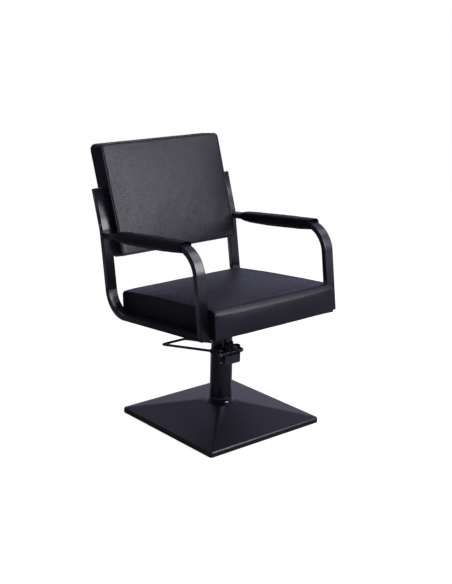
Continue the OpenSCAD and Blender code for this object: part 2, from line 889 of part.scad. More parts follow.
module rear_post(side) {
    color("#1d1d22") tilted() translate([side * rail_x, 0, 0]) difference() {
        bent_tube(weld, kink, post_top, kink_r);
        for (s = screw_up_shares) translate([0, kink[0], kink[1]]) rotate([-back_lean, 0, 0])
            translate([0, 0, s * post_len]) rod_x(screw_r, -tube_w, tube_w);
    }
}

module rear_post_left() {
    rear_post(-1);
}

module rear_post_right() {
    rear_post(1);
}

module arm_tube(side) {
    below = front_foot - 2 * tube_t * [sin(front_lean), cos(front_lean)];
    face = arm_end - [tube_t / 2 / cos(rear_lean), 0];
    color("#1d1d22") tilted() translate([side * rail_x, 0, 0]) difference() {
        bent_tube(below, arm_corner, arm_end, path_r);
        half_space(face, -rear_lean);
        intersection() {
            mitre();
            half_space([-frame_w, 0], 0);
            translate([-tube_w, -frame_w, -frame_w]) cube([2 * tube_w, frame_w, frame_w + 2 * tube_t]);
        }
    }
}

module arm_tube_left() {
    arm_tube(-1);
}

module arm_tube_right() {
    arm_tube(1);
}

module post_caps() {
    plug = [tube_w - 2 * tube_wall - cap_gap, tube_t - 2 * tube_wall - cap_gap, cap_plug];
    color("#101013") backrest() both_sides() translate([rail_x, 0, post_len]) {
        translate([-tube_w / 2, -tube_t / 2, 0]) cube([tube_w, tube_t, cap_t]);
        translate([-plug[0] / 2, -plug[1] / 2, -plug[2]]) cube(plug);
    }
}

// Seat

module seat_board() {
    w = seat_w - 2 * board_rim;
    depth = seat_front + seat_rear - 2 * board_rim;
    color("#8a6f4d") tilted() difference() {
        block([w, depth, board_t], [-w / 2, board_rim - seat_front, bar_t]);
        for (x = [-1, 1], y = [-1, 1]) translate([x * board_screw_x, y * bar_y, bar_t - over])
            cylinder(r = board_screw_r, h = board_screw_in + over);
    }
}

module board_screws() {
    color("silver") tilted() for (x = [-1, 1], y = [-1, 1]) translate([x * board_screw_x, y * bar_y, 0]) {
        cylinder(r = board_screw_r, h = bar_t + board_screw_in);
        translate([0, 0, -board_screw_head_h]) cylinder(r = board_screw_head_r, h = board_screw_head_h);
    }
}

module seat_cushion() {
    w = seat_w - 2 * board_rim + 2 * board_gap;
    depth = seat_front + seat_rear - 2 * board_rim + 2 * board_gap;
    notch = bar_w + 2 * board_gap;
    color("#25252d") tilted() difference() {
        translate([0, 0, cushion_lift]) cushion(seat_w, -seat_front, seat_rear, seat_h - cushion_lift,
            front_roll, rear_roll, 0, 2 * board_gap, seat_crown, draw_in, seat_swell, 0, seat_drop, seam_rise);
        block([w, depth, bar_t + board_t + over], [-w / 2, board_rim - board_gap - seat_front, -over]);
        for (y = [-1, 1]) block([frame_w, notch, bar_t + board_gap + over],
            [-frame_w / 2, y * bar_y - notch / 2, -over]);
    }
}

// Backrest

module back_board() {
    w = back_w - 2 * back_taper - 2 * back_board_rim;
    h = back_up + back_down - 2 * shell_roll;
    color("#8a6f4d") backrest() difference() {
        block([w, back_board_t, h], [-w / 2, -back_seam, shell_roll - back_down]);
        for (s = screw_up_shares) translate([0, 0, s * post_len]) both_sides()
            rod_x(screw_r, w / 2 - screw_in, w / 2 + over);
    }
}

module at_back_screws() {
    backrest() for (s = screw_up_shares) translate([0, 0, s * post_len]) both_sides() children();
}

module back_cushion() {
    color("#25252d") backrest() translate([0, -back_seam, 0]) rotate([90, 0, 0]) mirror([0, 1, 0])
        cushion(back_w, -back_up, back_down, back_front - back_seam, back_roll, back_edge_r, back_side_r,
            back_corner_r, back_crown, draw_in / 2, -draw_in / 2, back_taper, 0, 0);
}

module back_panel() {
    w = back_w - 2 * back_taper - 2 * back_board_rim + 2 * board_gap;
    h = back_up + back_down - 2 * shell_roll + 2 * board_gap;
    color("#1e1e24") difference() {
        backrest() translate([0, board_gap - back_seam, 0]) rotate([-90, 0, 0])
            cushion(back_w, -back_up, back_down, back_rear + back_seam - board_gap, shell_roll, shell_roll,
                shell_side_r, back_corner_r, back_crown / 2, draw_in / 2, -draw_in / 2, back_taper, 0, 0);
        backrest() block([w, back_board_t + over, h],
            [-w / 2, -back_seam - over, shell_roll - board_gap - back_down]);
        at_back_screws() rod_x(spacer_r + board_gap, back_w / 2 - back_taper - back_board_rim - over, back_w);
    }
}

module back_spacers() {
    edge = back_w / 2 - back_taper - back_board_rim;
    color("#2a2a2e") at_back_screws() difference() {
        rod_x(spacer_r, edge, inner_x);
        rod_x(screw_r, edge - over, inner_x + over);
    }
}

module back_screws() {
    edge = back_w / 2 - back_taper - back_board_rim;
    outer = frame_w / 2;
    color("silver") at_back_screws() {
        rod_x(screw_r, edge - screw_in, outer);
        translate([outer, 0, 0]) rotate([0, 90, 0])
            cylinder(r1 = screw_head_r, r2 = screw_r, h = screw_head_h);
    }
}

// Arm pads

// Place along the pad from its front, then padding at the sides, on top and below
pad_shares = [[0, 0.85, 0.9, 1.7], [0.02, 1, 1, 1.9], [0.15, 1.15, 1.05, 2.3], [0.35, 1.2, 1.1, 2.5],
    [0.6, 1.2, 1.1, 2.4], [0.86, 1.1, 1.05, 1.8], [0.96, 0.8, 0.8, 1], [1, 0.35, 0.35, 0.35]];

// Section of the sleeve at one place along the arm
function sleeve_ring(y, side, top, low) =
    [for (p = outline(tube_w / 2 + side, -tube_t / 2 - low, tube_t / 2 + top, arm_pad_r)) [p[0], y, p[1]]];

// Section of the room for the tube inside the sleeve, which drops where the tube bends down
function bore_ring(y, drop) =
    [for (p = outline(tube_w / 2 + soft_gap, -tube_t / 2 - soft_gap - drop, tube_t / 2 + soft_gap, slab))
        [p[0], y, p[1]]];

module arm_pad(side) {
    along_arm = (arm_end - arm_corner) / norm(arm_end - arm_corner);
    bend_y = (arm_corner + path_r * tan(abs(turn(front_foot, arm_corner, arm_end)) / 2) * along_arm)[0];
    mouth = max(arm_pad_front + bend_y, slab);
    inner_r = path_r - tube_t / 2 - soft_gap;
    drop = inner_r - sqrt(inner_r * inner_r - mouth * mouth);
    skin = [for (s = pad_shares)
        sleeve_ring(arm_pad_len * s[0] - arm_pad_front, arm_pad_t * s[1], arm_pad_t * s[2], arm_pad_t * s[3])];
    bore = [bore_ring(arm_pad_len - arm_pad_front, 0), bore_ring(mouth - arm_pad_front, 0),
        bore_ring(-arm_pad_front, drop)];
    rings = concat(skin, bore);
    color("#1f1f26") tilted() translate([side * rail_x, 0, arm_line(0)]) rotate([-arm_rise, 0, 0])
        polyhedron(points = [for (r = rings) for (p = r) p], faces = walls(len(rings[0]), len(rings), true));
}

module arm_pad_left() {
    arm_pad(-1);
}

module arm_pad_right() {
    arm_pad(1);
}

floor_mat();
base_plate();
base_cover();
column_collar();
pump_flange();
flange_bolts();
pump_cylinder();
column_sleeve();
cylinder_head();
guide_bush();
wiper_seal();
pump_block();
shaft_bushes();
release_valve();
valve_nut();
ram();
piston();
piston_seal();
thrust_washer();
lever_toe();
pedal_shaft();
pedal_socket_left();
pedal_socket_right();
pedal_rod();
shaft_nuts();
socket_screws();
plunger();
plunger_spring();
seat_hub();
hub_screws();
hub_plate();
plate_bolts();
cross_bar_front();
cross_bar_rear();
seat_rail_left();
seat_rail_right();
rear_post_left();
rear_post_right();
arm_tube_left();
arm_tube_right();
post_caps();
seat_board();
board_screws();
seat_cushion();
back_board();
back_cushion();
back_panel();
back_spacers();
back_screws();
arm_pad_left();
arm_pad_right();
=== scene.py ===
"""A hydraulic hairdressing chair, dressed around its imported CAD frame."""

import json
from math import atan2, ceil, cos, pi, radians, sin, sqrt, tan, tanh

import bmesh
import bpy
from mathutils import Matrix, Vector, noise
from mathutils.bvhtree import BVHTree


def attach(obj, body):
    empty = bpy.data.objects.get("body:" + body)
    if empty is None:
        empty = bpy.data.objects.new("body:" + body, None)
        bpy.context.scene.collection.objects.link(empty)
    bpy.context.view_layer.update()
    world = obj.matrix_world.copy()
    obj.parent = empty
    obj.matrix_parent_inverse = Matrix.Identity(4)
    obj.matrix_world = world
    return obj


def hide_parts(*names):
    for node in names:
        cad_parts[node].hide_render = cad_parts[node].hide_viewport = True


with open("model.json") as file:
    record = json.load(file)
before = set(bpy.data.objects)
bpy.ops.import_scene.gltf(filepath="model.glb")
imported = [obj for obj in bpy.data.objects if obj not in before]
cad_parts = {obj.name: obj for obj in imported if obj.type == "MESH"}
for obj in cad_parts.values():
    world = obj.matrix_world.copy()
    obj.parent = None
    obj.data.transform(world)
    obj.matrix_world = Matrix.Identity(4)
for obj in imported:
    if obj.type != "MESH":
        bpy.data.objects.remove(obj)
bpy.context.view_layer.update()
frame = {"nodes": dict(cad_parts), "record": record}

# Places, in metres. The seat has its own tipped frame, and the back and the arms lean in it.
# Left and right are as seen by someone who faces the chair.
SIDES = ((-1, "left"), (1, "right"))
SEAT_TIP, BACK_LEAN, FRONT_LEAN, REAR_LEAN, ARM_RISE = (radians(angle) for angle in (5, 13.7, 3, 4.4, 1.2))
SEAT = Matrix.Translation((0, 0, 0.410)) @ Matrix.Rotation(-SEAT_TIP, 4, "X")
LEVER = Matrix.Translation((0, -0.056, 0.274))
TUBE = (0.040, 0.020)
HALF_TUBE = TUBE[1] / 2
FRAME_FRONT, FRAME_REAR = -0.267, 0.273
RAIL_X = 0.297
RAIL_Z, WELD_Z, ARM_LINE, KINK_Z = 0.010, 0.098, 0.3055, 0.318
POST_LENGTH = 0.148
BEND_R, RAIL_BEND_R, KINK_R = 0.100, 0.094, 0.040
HALF_CUSHION = 0.273
SEAT_FRONT, SEAT_REAR, FRONT_TOP, REAR_TOP = -0.294, 0.233, 0.104, 0.097
SEAT_MIDDLE, HALF_SEAT = (SEAT_REAR + SEAT_FRONT) / 2, (SEAT_REAR - SEAT_FRONT) / 2
BACK_TOP, BACK_LOW = 0.302, -0.105
BACK_MIDDLE, HALF_BACK = (BACK_TOP + BACK_LOW) / 2, (BACK_TOP - BACK_LOW) / 2
BACK_TAPER = 0.004
PAD_FRONT, PAD_LENGTH = -0.180, 0.386
PAD_SEAM_FRONT, PAD_SEAM_LENGTH = -0.176, 0.374
PUFF_FRAMES = 20


def front_line(z):
    """The front post's middle line in the seat's frame, as y at a height."""
    return FRAME_FRONT + HALF_TUBE / cos(FRONT_LEAN) + z * tan(FRONT_LEAN)


def rear_line(z):
    """The rear post's middle line in the seat's frame, as y at a height."""
    return FRAME_REAR - HALF_TUBE / cos(REAR_LEAN) + z * tan(REAR_LEAN)


BACK = SEAT @ Matrix.Translation((0, rear_line(KINK_Z), KINK_Z)) @ Matrix.Rotation(-BACK_LEAN, 4, "X")


def arm_frame(side):
    """The frame along an arm's middle line."""
    return SEAT @ Matrix.Translation((side * RAIL_X, 0, ARM_LINE)) @ Matrix.Rotation(-ARM_RISE, 4, "X")


# Finishes


def plug(tree, socket, value):
    """A plain value, or a link from another node, in a socket."""
    if isinstance(value, bpy.types.NodeSocket):
        tree.links.new(value, socket)
    else:
        socket.default_value = value


def wire(tree, kind, inputs=None, **settings):
    """A shader or geometry node with its settings, its values and the sockets that feed it."""
    made = tree.nodes.new(kind)
    for name, value in settings.items():
        setattr(made, name, value)
    for name, value in (inputs or {}).items():
        plug(tree, made.inputs[name], value)
    return made


def sums(tree, operation, *values):
    """The result of one piece of arithmetic on values or sockets."""
    made = wire(tree, "ShaderNodeMath", operation=operation)
    for socket, value in zip(made.inputs, values):
        plug(tree, socket, value)
    return made.outputs[0]


def plus(tree, a, b):
    return sums(tree, "ADD", a, b)


def times(tree, a, b):
    return sums(tree, "MULTIPLY", a, b)


def spread(tree, value, low, high, to_low=0.0, to_high=1.0):
    """A value between two bounds, as a value between two others."""
    return wire(tree, "ShaderNodeMapRange", {"Value": value, "From Min": low, "From Max": high,
                                             "To Min": to_low, "To Max": to_high}).outputs["Result"]


def mottle(tree, coords, scale, detail=2.0, rough=0.5):
    """Cloudy noise from 0 to 1."""
    return wire(tree, "ShaderNodeTexNoise", {"Vector": coords, "Scale": scale, "Detail": detail,
                                             "Roughness": rough}).outputs["Fac"]


def shader_group(name, inputs, outputs):
    """A group with its sockets, and the object's coordinates inside it."""
    group = bpy.data.node_groups.new(name, "ShaderNodeTree")
    for label, value in inputs.items():
        group.interface.new_socket(label, in_out="INPUT", socket_type="NodeSocketFloat").default_value = value
    for label in outputs:
        group.interface.new_socket(label, in_out="OUTPUT", socket_type="NodeSocketFloat")
    taken = group.nodes.new("NodeGroupInput").outputs
    given = group.nodes.new("NodeGroupOutput").inputs
    coords = group.nodes.new("ShaderNodeTexCoord").outputs["Object"]
    return group, taken, given, coords


def make_hide_grain():
    """Pebbled upholstery: cells with soft valleys, fine pores, and slow patches of handling."""
    group, taken, given, coords = shader_group("hide_grain", {"Cells": 520.0, "Patches": 7.0},
                                               ("Height", "Valley", "Patch", "Crumple"))
    bend = wire(group, "ShaderNodeTexNoise", {"Vector": coords, "Scale": 160.0, "Detail": 1.0})
    moved = wire(group, "ShaderNodeVectorMath", {
        0: bend.outputs["Color"], 1: (0.003, 0.003, 0.003), 2: coords}, operation="MULTIPLY_ADD").outputs[0]
    cells = wire(group, "ShaderNodeTexVoronoi", {"Vector": moved, "Scale": taken["Cells"], "Randomness": 1.0},
                 feature="DISTANCE_TO_EDGE").outputs["Distance"]
    valley = spread(group, cells, 0.0, 0.16, 1.0, 0.0)
    pores = mottle(group, coords, 2600.0)
    creases = mottle(group, coords, 125.0, 4.0, 0.65)
    slow = mottle(group, coords, taken["Patches"], 4.0, 0.55)
    pebbled = sums(group, "SUBTRACT", times(group, pores, 0.14), times(group, valley, 0.5))
    plug(group, given["Height"], plus(group, pebbled, times(group, creases, 3.2)))
    plug(group, given["Valley"], valley)
    plug(group, given["Patch"], spread(group, slow, 0.35, 0.68))
    plug(group, given["Crumple"], spread(group, creases, 0.36, 0.64))
    return group


def make_coat_texture():
    """Sprayed metal: a fine peel, faint dust in patches, and slow waves from the sheet below."""
    group, taken, given, coords = shader_group("coat_texture", {"Peel": 700.0, "Waves": 14.0},
                                               ("Height", "Dust"))
    peel = mottle(group, coords, taken["Peel"], 2.0)
    waves = mottle(group, coords, taken["Waves"], 2.0)
    dust = mottle(group, coords, 38.0, 6.0, 0.65)
    plug(group, given["Height"], plus(group, times(group, peel, 0.5), waves))
    plug(group, given["Dust"], spread(group, dust, 0.5, 0.78))
    return group


HIDE = make_hide_grain()
COAT = make_coat_texture()


def finish(name):
    """A new material, its tree and its shader."""
    made = bpy.data.materials.new(name)
    made.use_nodes = True
    tree = made.node_tree
    return made, tree, tree.nodes["Principled BSDF"]


def feed(tree, shader, values):
    for name, value in values.items():
        plug(tree, shader.inputs[name], value)


def placed(tree, group, values):
    """The outputs of a group placed in a material with its own values."""
    return wire(tree, "ShaderNodeGroup", values, node_tree=group).outputs


def two_tone(tree, factor, a, b):
    """A colour between two."""
    made = wire(tree, "ShaderNodeMix", {"Factor": factor}, data_type="RGBA")
    made.inputs[6].default_value = (*a, 1)
    made.inputs[7].default_value = (*b, 1)
    return made.outputs[2]


def bump(tree, height, strength, distance):
    return wire(tree, "ShaderNodeBump", {"Height": height, "Strength": strength,
                                         "Distance": distance}).outputs["Normal"]


def upholstery(name, dark, worn, rough, depth=0.30, cells=520.0, sheen=0.05):
    """Grained black upholstery, paler where it is handled and duller where it crumples."""
    made, tree, shader = finish(name)
    grain = placed(tree, HIDE, {"Cells": cells, "Patches": 7.0})
    tone = plus(tree, times(tree, grain["Patch"], 0.75), times(tree, grain["Valley"], -0.35))
    feed(tree, shader, {
        "Base Color": two_tone(tree, tone, dark, worn),
        "Roughness": spread(tree, grain["Crumple"], 0.0, 1.0, rough[1], rough[0]),
        "Normal": bump(tree, grain["Height"], depth, 0.0006),
        "Specular IOR Level": 0.5, "Sheen Weight": sheen, "Sheen Roughness": 0.45,
        "Sheen Tint": (0.72, 0.78, 1.0, 1),
    })
    return made


def sprayed(name, colour, dusty, rough, peel, depth, coat=0.0, coat_rough=0.1):
    """Paint or powder over metal, duller and paler where dust lies."""
    made, tree, shader = finish(name)
    skin = placed(tree, COAT, {"Peel": peel, "Waves": 14.0})
    feed(tree, shader, {
        "Base Color": two_tone(tree, times(tree, skin["Dust"], 0.6), colour, dusty),
        "Roughness": spread(tree, skin["Dust"], 0.0, 1.0, *rough),
        "Normal": bump(tree, skin["Height"], depth, 0.0004),
        "Coat Weight": coat, "Coat Roughness": coat_rough,
    })
    return made


def bare_metal(name, colour, rough, streak_scale, depth=0.05):
    """Turned or plated metal with fine rings of tool marks that follow the height."""
    made, tree, shader = finish(name)
    coords = wire(tree, "ShaderNodeTexCoord").outputs["Object"]
    marks = wire(tree, "ShaderNodeTexWave", {"Vector": coords, "Scale": streak_scale, "Distortion": 2.0,
                                             "Detail": 2.0}, bands_direction="Z").outputs["Fac"]
    stain = mottle(tree, coords, 60.0, 4.0)
    feed(tree, shader, {
        "Base Color": two_tone(tree, spread(tree, stain, 0.4, 0.7), colour, tuple(c * 0.82 for c in colour)),
        "Roughness": spread(tree, stain, 0.35, 0.75, rough * 0.8, rough * 1.3),
        "Normal": bump(tree, marks, depth, 0.0002), "Metallic": 1.0,
    })
    return made


def plywood(name):
    """Bare plywood with its grain along the board."""
    made, tree, shader = finish(name)
    coords = wire(tree, "ShaderNodeTexCoord").outputs["Object"]
    long = wire(tree, "ShaderNodeMapping", {"Vector": coords, "Scale": (6.0, 60.0, 60.0)}).outputs["Vector"]
    grain = mottle(tree, long, 4.0, 6.0, 0.6)
    feed(tree, shader, {
        "Base Color": two_tone(tree, spread(tree, grain, 0.35, 0.7), (0.50, 0.36, 0.21), (0.33, 0.21, 0.11)),
        "Roughness": 0.7, "Normal": bump(tree, grain, 0.3, 0.0005),
    })
    return made


def moulded(name, colour, rough, scale):
    """Plastic, rubber or thread with a fine even speckle."""
    made, tree, shader = finish(name)
    coords = wire(tree, "ShaderNodeTexCoord").outputs["Object"]
    fine = mottle(tree, coords, scale, 3.0)
    feed(tree, shader, {
        "Base Color": two_tone(tree, fine, colour, tuple(c * 1.7 for c in colour)),
        "Roughness": spread(tree, fine, 0.3, 0.7, rough - 0.06, rough + 0.08),
        "Normal": bump(tree, fine, 0.25, 0.0003),
    })
    return made


LEATHER = upholstery("black_upholstery", (0.0036, 0.0030, 0.0080), (0.0090, 0.0080, 0.0165), (0.28, 0.41))
# Welts and seams: the same black upholstery coloured paler, as a painted highlight along each cord.
WELT_PAINTED_HIGHLIGHT = upholstery("welt_cord_painted_highlight", (0.014, 0.013, 0.020), (0.032, 0.031, 0.042), (0.16, 0.22),
                  depth=0.08, cells=700.0, sheen=0.2)
PAD_HIDE = upholstery("arm_pad_upholstery", (0.0030, 0.0026, 0.0060), (0.0070, 0.0064, 0.0120), (0.36, 0.46),
                      depth=0.5, cells=420.0, sheen=0.0)
FRAME = sprayed("frame_powder_coat", (0.015, 0.0138, 0.021), (0.023, 0.0215, 0.031), (0.30, 0.38),
                900.0, 0.08, coat=0.85, coat_rough=0.28)
BASE = sprayed("base_enamel", (0.010, 0.009, 0.016), (0.017, 0.016, 0.027), (0.36, 0.46),
               620.0, 0.10, coat=0.4, coat_rough=0.3)
GLOSS = sprayed("column_gloss", (0.005, 0.0045, 0.011), (0.008, 0.0075, 0.015), (0.12, 0.2),
                300.0, 0.03, coat=0.6, coat_rough=0.05)
CAST = sprayed("pump_block_paint", (0.028, 0.027, 0.042), (0.046, 0.044, 0.066), (0.34, 0.46), 420.0, 0.3)
LEVER_PAINT = sprayed("lever_gloss", (0.005, 0.0045, 0.008), (0.009, 0.0085, 0.013), (0.26, 0.34),
                      500.0, 0.05)
STEEL = bare_metal("turned_steel", (0.42, 0.42, 0.43), 0.35, 260.0)
ZINC = bare_metal("bright_zinc", (0.72, 0.72, 0.73), 0.22, 180.0, 0.03)
CHROME = bare_metal("hard_chrome", (0.78, 0.78, 0.80), 0.08, 40.0, 0.01)
BRONZE = bare_metal("sintered_bronze", (0.58, 0.40, 0.19), 0.38, 300.0)
PLY = plywood("bare_plywood")
RUBBER = moulded("base_rubber", (0.012, 0.012, 0.012), 0.72, 900.0)
PLASTIC = moulded("post_cap_plastic", (0.013, 0.013, 0.015), 0.42, 1400.0)
THREAD = moulded("stitch_thread", (0.014, 0.014, 0.018), 0.6, 2400.0)

SLOT_FINISH = {
    "frame_coat": FRAME, "base_coat": BASE, "gloss_coat": GLOSS, "block_coat": CAST,
    "lever_coat": LEVER_PAINT, "leather": LEATHER, "plywood": PLY, "steel": STEEL, "zinc": ZINC,
    "chromed": CHROME, "bronze": BRONZE, "rubber": RUBBER, "plastic": PLASTIC,
}
NODE_SLOT = {part["node"]: part["material_slot"] for part in frame["record"]["subparts"]}
NODE_BODY = {node: body for body, held in frame["record"]["behaviour"]["bodies"].items() for node in held}
for node_name, node_object in frame["nodes"].items():
    node_object.data.materials.clear()
    node_object.data.materials.append(SLOT_FINISH[NODE_SLOT[node_name]])


# Making pieces


def piece(name, mesh, material, body, stands_for=(), place=None):
    """A finished piece: its mesh put in place, with its finish, riding on its body."""
    if place is not None:
        mesh.transform(place)
    made = bpy.data.objects.new(name, mesh)
    bpy.context.collection.objects.link(made)
    mesh.materials.clear()
    mesh.materials.append(material)
    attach(made, body)
    if stands_for:
        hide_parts(*stands_for)
    return made


def from_rings(name, rings, closed_path=False, mirror=None):
    """Quads between rings of equal length. An open end is a fan, or a strip mirrored about a point."""
    count, along = len(rings[0]), len(rings)
    points = [tuple(p) for ring in rings for p in ring]
    faces = []
    for k in range(along if closed_path else along - 1):
        a, b = k * count, (k + 1) % along * count
        faces += [(a + i, b + i, b + (i + 1) % count, a + (i + 1) % count) for i in range(count)]
    for k in () if closed_path else (0, along - 1):
        ring = list(range(k * count, (k + 1) * count))
        if mirror is None:
            middle = len(points)
            points.append(tuple(sum((Vector(points[i]) for i in ring), Vector()) / count))
            faces += [(middle, ring[j], ring[(j + 1) % count]) for j in range(count)]
            continue
        for j in range(count // 2):
            corners = (ring[(mirror + step) % count] for step in (j, j + 1, -j - 1, -j))
            faces.append(tuple(dict.fromkeys(corners)))
    mesh = bpy.data.meshes.new(name)
    mesh.from_pydata(points, [], faces)
    outward(mesh)
    mesh.shade_smooth()
    return mesh


def outward(mesh):
    """Turns the mesh's faces outwards."""
    work = bmesh.new()
    work.from_mesh(mesh)
    bmesh.ops.recalc_face_normals(work, faces=work.faces)
    work.to_mesh(mesh)
    work.free()


def settled(made):
    """The object's evaluated mesh, as a plain mesh."""
    bpy.context.view_layer.update()
    graph = bpy.context.evaluated_depsgraph_get()
    return bpy.data.meshes.new_from_object(made.evaluated_get(graph), depsgraph=graph)


def with_modifiers(mesh, *steps):
    """The mesh after some modifiers, each a kind with its settings."""
    helper = bpy.data.objects.new("workbench", mesh)
    bpy.context.collection.objects.link(helper)
    for kind, settings in steps:
        step = helper.modifiers.new(kind.lower(), kind)
        for name, value in settings.items():
            setattr(step, name, value)
    made = settled(helper)
    bpy.data.objects.remove(helper)
    return made


def softened(node_name, width):
    """A copy of a CAD node with its edges broken, standing for that node."""
    source = frame["nodes"][node_name]
    work = bmesh.new()
    work.from_mesh(source.data)
    work.transform(source.matrix_world)
    bmesh.ops.remove_doubles(work, verts=work.verts, dist=2e-5)
    bmesh.ops.dissolve_limit(work, angle_limit=radians(1.2), verts=work.verts, edges=work.edges)
    mesh = bpy.data.meshes.new(node_name + "_dressed")
    work.to_mesh(mesh)
    work.free()
    mesh = with_modifiers(mesh, ("BEVEL", {"width": width, "segments": 3, "limit_method": "ANGLE",
                                           "angle_limit": radians(32), "use_clamp_overlap": True,
                                           "harden_normals": False}))
    mesh.shade_smooth()
    mesh = with_modifiers(mesh, ("WEIGHTED_NORMAL", {"keep_sharp": False, "weight": 50}))
    slot_name = NODE_SLOT[node_name]
    piece(node_name + "_dressed", mesh, SLOT_FINISH[slot_name], NODE_BODY[node_name],
          (node_name,))


def cord_along(name, points, radius, closed=False, sides=8):
    """A round cord swept along points."""
    path = [Vector(p) for p in points]
    count = len(path)
    rings, last = [], None
    for k, point in enumerate(path):
        before = path[(k - 1) % count] if closed or k else point
        after = path[(k + 1) % count] if closed or k < count - 1 else point
        ahead = (after - before).normalized()
        side = ahead.orthogonal() if last is None else last - ahead * last.dot(ahead)
        last = side.normalized()
        up = ahead.cross(last)
        rings.append([point + radius * (cos(a) * last + sin(a) * up)
                      for a in (2 * pi * i / sides for i in range(sides))])
    return from_rings(name, rings, closed_path=closed)


# Steel frame


def fillets(points, radii):
    """A path of (point, heading) in the side plane, with each inner corner turned at its radius."""
    path = []
    for k, corner in enumerate(points):
        corner = Vector(corner)
        if k in (0, len(points) - 1):
            other = Vector(points[1] if k == 0 else points[-2])
            path.append((corner, (other - corner if k == 0 else corner - other).normalized()))
            continue
        into = (corner - Vector(points[k - 1])).normalized()
        out = (Vector(points[k + 1]) - corner).normalized()
        sweep = atan2(into.x * out.y - into.y * out.x, into.dot(out))
        start = corner - radii[k] * tan(abs(sweep) / 2) * into
        hand = 1 if sweep > 0 else -1
        centre = start + hand * radii[k] * Vector((-into.y, into.x))
        arm = start - centre
        steps = max(2, ceil(abs(sweep) / radians(3)))
        for i in range(steps + 1):
            turn = Matrix.Rotation(sweep * i / steps, 2)
            path.append((centre + turn @ arm, turn @ into))
    return path


def corner_arcs(half, low, high, corner, steps):
    """The arcs at the four corners of a rounded rectangle, as (across, up) points."""
    arcs = []
    for k, (sx, sz) in enumerate(((1, 1), (-1, 1), (-1, -1), (1, -1))):
        cx, cz = sx * (half - corner), high - corner if sz > 0 else low + corner
        arcs.append([(cx + corner * cos(a), cz + corner * sin(a))
                     for a in (radians(90 * k + 90 * i / steps) for i in range(steps + 1))])
    return arcs


def tube_section(size, corner, beside=0.0012):
    """Rounded rectangle as (across, up) points, with a support point beside each corner."""
    half_w, half_t = size[0] / 2, size[1] / 2
    ring = []
    for k, arc in enumerate(corner_arcs(half_w, -half_t, half_t, corner, 4)):
        first, last = radians(90 * k), radians(90 * k + 90)
        (xa, za), (xb, zb) = arc[0], arc[-1]
        ring.append((xa + beside * sin(first), za - beside * cos(first)))
        ring += arc
        ring.append((xb - beside * sin(last), zb + beside * cos(last)))
    return ring


def flat_tube(name, path, x, cuts):
    """A flat tube swept along a side-plane path. A cut is the heading of an end's face."""
    section = tube_section(TUBE, 0.0028)
    rings = []
    for k, (at, ahead) in enumerate(path):
        up = Vector((-ahead.y, ahead.x))
        cut = cuts[0] if k == 0 else cuts[1] if k == len(path) - 1 else None
        ring = []
        for across, rise in section:
            shift = rise * up
            if cut is not None:
                off_face = Vector((cos(cut), sin(cut)))
                shift = shift - ahead * (shift.dot(off_face) / ahead.dot(off_face))
            spot = at + shift
            ring.append((x + across, spot.x, spot.y))
        rings.append(ring)
    return from_rings(name, rings)


def crossing(line, lean):
    """Where the arm's middle line crosses a post's middle line."""
    z = (ARM_LINE - line(0) * tan(ARM_RISE)) / (1 + tan(lean) * tan(ARM_RISE))
    return (line(z), z)


front_foot = (front_line(RAIL_Z), RAIL_Z)
rear_corner = (rear_line(RAIL_Z), RAIL_Z)
arm_corner = crossing(front_line, FRONT_LEAN)
arm_end = crossing(rear_line, REAR_LEAN)
weld = (rear_line(WELD_Z), WELD_Z)
kink = (rear_line(KINK_Z), KINK_Z)
post_top = (kink[0] + POST_LENGTH * sin(BACK_LEAN), kink[1] + POST_LENGTH * cos(BACK_LEAN))
half_post = HALF_TUBE / cos(REAR_LEAN)
arm_stop = (arm_end[0] - half_post, arm_end[1] + half_post * tan(ARM_RISE))
MITRE = -(radians(90) + FRONT_LEAN) / 2

for side, hand in SIDES:
    x = side * RAIL_X
    for node, corners, radius, cuts in (
            ("arm_tube", (front_foot, arm_corner, arm_stop), BEND_R, (MITRE, -REAR_LEAN)),
            ("seat_rail", (front_foot, rear_corner, weld), RAIL_BEND_R, (MITRE, None)),
            ("rear_post", (weld, kink, post_top), KINK_R, (None, None))):
        tube = flat_tube(node, fillets(corners, (0, radius, 0)), x, cuts)
        piece(f"{node}_{hand}_dressed", tube, FRAME, "seat", (f"{node}_{hand}",), SEAT)


# Upholstery forms


def closed_profile(corners, arcs, straights):
    """A loop through rounded corners (y, z, radius), with fixed counts so that all stations match."""
    loop = []
    count = len(corners)
    spots = [Vector((y, z)) for y, z, _ in corners]
    ways = [(spots[(k + 1) % count] - spots[k]).normalized() for k in range(count)]
    for k, (_, _, radius) in enumerate(corners):
        following = (k + 1) % count
        into, out = ways[k - 1], ways[k]
        hand = 1 if into.x * out.y - into.y * out.x > 0 else -1
        sweep = into.angle(out)
        start = spots[k] - radius * tan(sweep / 2) * into
        end = spots[k] + radius * tan(sweep / 2) * out
        centre = start + hand * radius * Vector((-into.y, into.x))
        for i in range(arcs[k] + 1):
            turn = Matrix.Rotation(hand * sweep * (i / arcs[k]), 2)
            loop.append(centre + turn @ (start - centre))
        goal = spots[following] - corners[following][2] * tan(out.angle(ways[following]) / 2) * out
        loop += [end.lerp(goal, i / straights[k]) for i in range(1, straights[k])]
    return loop


def cap_rings(ring, count):
    """Rings inside a flat end, shrinking towards its middle line."""
    ys = [p[1] for p in ring]
    zs = [p[2] for p in ring]
    mid_y, mid_z = (min(ys) + max(ys)) / 2, (min(zs) + max(zs)) / 2
    half_y, half_z = (max(ys) - min(ys)) / 2, (max(zs) - min(zs)) / 2
    reach = min(half_y, half_z)
    rings = []
    for k in range(1, count):
        cut = reach * k / count
        fy, fz = 1 - cut / half_y, 1 - cut / half_z
        rings.append([(p[0], mid_y + (p[1] - mid_y) * fy, mid_z + (p[2] - mid_z) * fz) for p in ring])
    return rings


